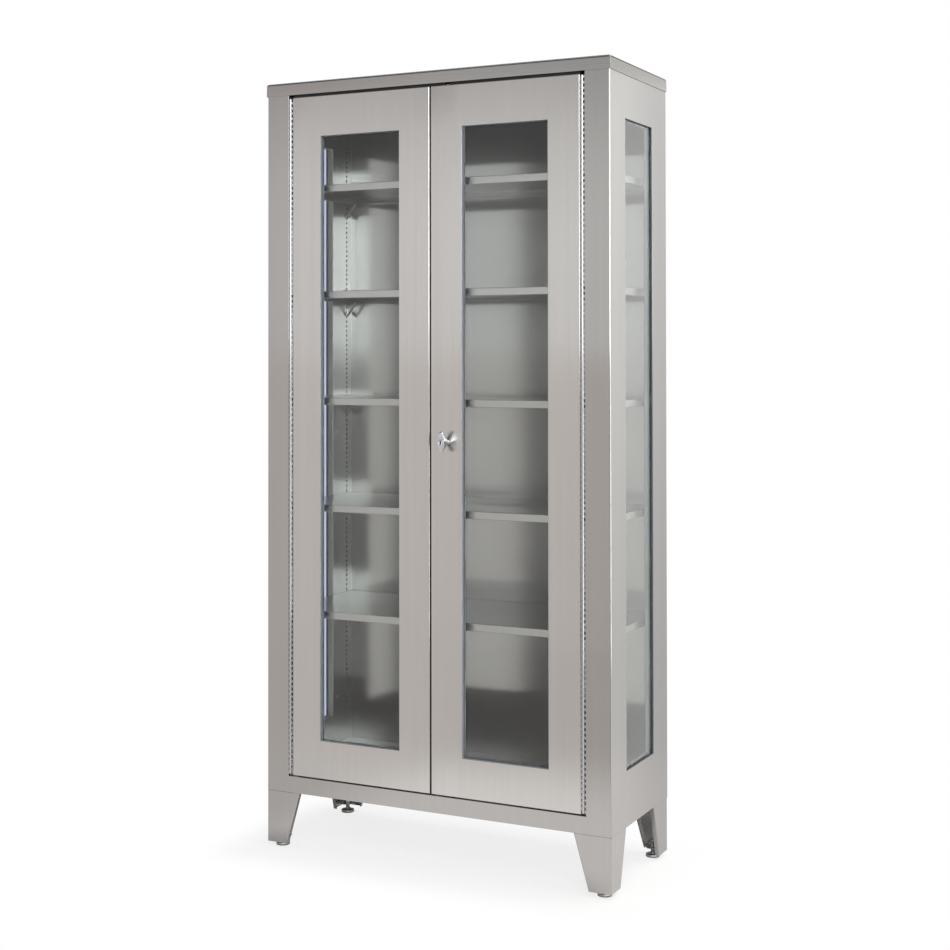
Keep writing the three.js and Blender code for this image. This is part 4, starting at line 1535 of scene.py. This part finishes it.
# Place, width, height and power of the lamps, which point at one spot
LAMPS = {
    "key_lamp": ((2.0, -3.4, 3.6), 1.6, 1.6, 60.0),
    "tall_lamp": ((3.2, -1.1, 1.25), 0.9, 2.6, 26.0),
    "top_lamp": ((1.7, 0.6, 4.4), 2.4, 2.4, 120.0),
}
LAMP_TARGET = Vector((0, 0, 1.25))
SENSOR, VIEW_END = 36, 100


class CABINET_OT_stage(CabinetOperator):
    """Pale floor, soft studio light and the camera"""

    bl_idname = "cabinet.stage"
    bl_label = "Stage"

    def execute(self, context):
        look = context.scene.cabinet_stage
        self.lay_floor(context, look)
        self.light_room(context, look)
        self.hang_lamps(context)
        self.set_camera(context, look)
        context.scene.view_settings.view_transform = "Standard"
        return {"FINISHED"}

    def lay_floor(self, context, look):
        """A round floor that is white to the camera, and shows the room to metal and glass."""
        bm = bmesh.new()
        bmesh.ops.create_circle(bm, cap_ends=True, segments=FLOOR_SIDES, radius=FLOOR_RADIUS)
        mesh = bpy.data.meshes.new("floor")
        bm.to_mesh(mesh)
        bm.free()
        floor = bpy.data.objects.new("floor", mesh)
        context.scene.collection.objects.link(floor)

        def build(wire):
            seen = wire.add("ShaderNodeLightPath", out="Is Camera Ray")
            shown = wire.add("ShaderNodeLightPath", out="Is Glossy Ray")
            passed = wire.add("ShaderNodeLightPath", out="Is Transmission Ray")
            place = own_place(wire)
            way = wire.vector("ADD", wire.vector("NORMALIZE", place), FLOOR_TILT)
            away = self.distance(wire, place)
            bare = away.span(*SHADOW_REACH)
            cloth = wire.add("ShaderNodeBsdfDiffuse", None, {"Color": opaque(look.floor)})
            across = place.part("X").span(*FLOOR_LEFT)
            near = wire.blend(across, opaque(look.near_left), opaque(look.near_right))
            tone = wire.blend(away.span(*NEAR_FLOOR), near, room_tone(wire, look, way))
            tone = wire.blend(seen, tone, WHITE)
            glow = wire.add("ShaderNodeEmission", None, {"Color": tone, "Strength": 1.0})
            share = seen * (bare * SHADOW + (1 - SHADOW)) + (shown + passed) * bare
            return wire.add("ShaderNodeMixShader", None, {0: share, 1: cloth, 2: glow})

        mesh.materials.append(make_finish("pale_floor", build))

    def distance(self, wire, place):
        """How far a spot on the floor lies outside the cabinet's footprint."""
        past = wire.vector("SUBTRACT", wire.vector("ABSOLUTE", place), (HALF_WIDTH, REAR, 0))
        past = wire.vector("MAXIMUM", past, (0, 0, 0))
        return wire.vector("LENGTH", past, out="Value")

    def light_room(self, context, look):
        """The room all round, white where the camera sees it."""
        world = bpy.data.worlds.new("studio")
        context.scene.world = world
        world.use_nodes = True
        tree = world.node_tree
        tree.nodes.clear()
        wire = Wire(tree)
        way = wire.add("ShaderNodeTexCoord", out="Generated")
        seen = wire.add("ShaderNodeLightPath", out="Is Camera Ray")
        shown = wire.blend(seen, room_tone(wire, look, way), WHITE)
        sky = wire.add("ShaderNodeBackground", None, {"Color": shown, "Strength": 1.0})
        wire.add("ShaderNodeOutputWorld", None, {"Surface": sky})

    def hang_lamps(self, context):
        for name, (place, width, height, power) in LAMPS.items():
            lamp = bpy.data.lights.new(name, "AREA")
            lamp.shape, lamp.size, lamp.size_y, lamp.energy = "RECTANGLE", width, height, power
            hung = bpy.data.objects.new(name, lamp)
            hung.location = place
            hung.rotation_euler = (LAMP_TARGET - Vector(place)).to_track_quat("-Z", "Y").to_euler()
            context.scene.collection.objects.link(hung)

    def set_camera(self, context, look):
        lens = bpy.data.cameras.new("camera")
        lens.sensor_width, lens.lens = SENSOR, look.camera_lens
        lens.shift_y = look.camera_shift
        lens.clip_end = VIEW_END
        camera = bpy.data.objects.new("camera", lens)
        context.scene.collection.objects.link(camera)
        yaw, pitch, roll = look.camera_yaw, look.camera_pitch, look.camera_roll
        level = math.cos(pitch)
        ahead = Vector((-math.sin(yaw) * level, math.cos(yaw) * level, math.sin(pitch)))
        right = Vector((math.cos(yaw), math.sin(yaw), 0))
        up = right.cross(ahead)
        across = right * math.cos(roll) + up * math.sin(roll)
        upright = up * math.cos(roll) - right * math.sin(roll)
        turn = Matrix((across, upright, -ahead)).transposed().to_4x4()
        camera.matrix_world = Matrix.Translation(look.camera_place) @ turn
        context.scene.camera = camera


OPERATORS = (
    CABINET_OT_stage,
    CABINET_OT_side_skins,
    CABINET_OT_side_liners,
    CABINET_OT_top_cap,
    CABINET_OT_rails_and_floor,
    CABINET_OT_doors,
    CABINET_OT_panes,
    CABINET_OT_seals,
    CABINET_OT_hinges,
    CABINET_OT_handle,
    CABINET_OT_latch,
    CABINET_OT_shelves,
    CABINET_OT_clips,
    CABINET_OT_legs,
    CABINET_OT_feet,
    CABINET_OT_fasteners,
)


GROUPS = {
    "cabinet_sheets": SheetSizes,
    "cabinet_punches": PunchSizes,
    "cabinet_hinges": HingeSizes,
    "cabinet_handle": HandleSizes,
    "cabinet_colours": FinishColours,
    "cabinet_stage": StageLook,
}


class CABINET_PT_panel(Panel):
    """Lists the cabinet's operators and sizes"""

    bl_idname = "CABINET_PT_panel"
    bl_label = "Medical cabinet"
    bl_space_type = "VIEW_3D"
    bl_region_type = "UI"
    bl_category = "Cabinet"

    def draw(self, context):
        for operator in OPERATORS:
            self.layout.operator(operator.bl_idname)
        for group, kind in GROUPS.items():
            column = self.layout.column(heading=kind.__doc__)
            for name in kind.__annotations__:
                column.prop(getattr(context.scene, group), name)


def register():
    for kind in (*GROUPS.values(), *OPERATORS, CABINET_PT_panel):
        bpy.utils.register_class(kind)
    for name, kind in GROUPS.items():
        setattr(bpy.types.Scene, name, PointerProperty(type=kind))


def unregister():
    for name in GROUPS:
        delattr(bpy.types.Scene, name)
    for kind in reversed((*GROUPS.values(), *OPERATORS, CABINET_PT_panel)):
        bpy.utils.unregister_class(kind)


def main():
    register()
    make_finishes(bpy.context.scene.cabinet_colours)
    for operator in OPERATORS:
        group, name = operator.bl_idname.split(".")
        getattr(getattr(bpy.ops, group), name)()


if __name__ == "__main__":
    main()
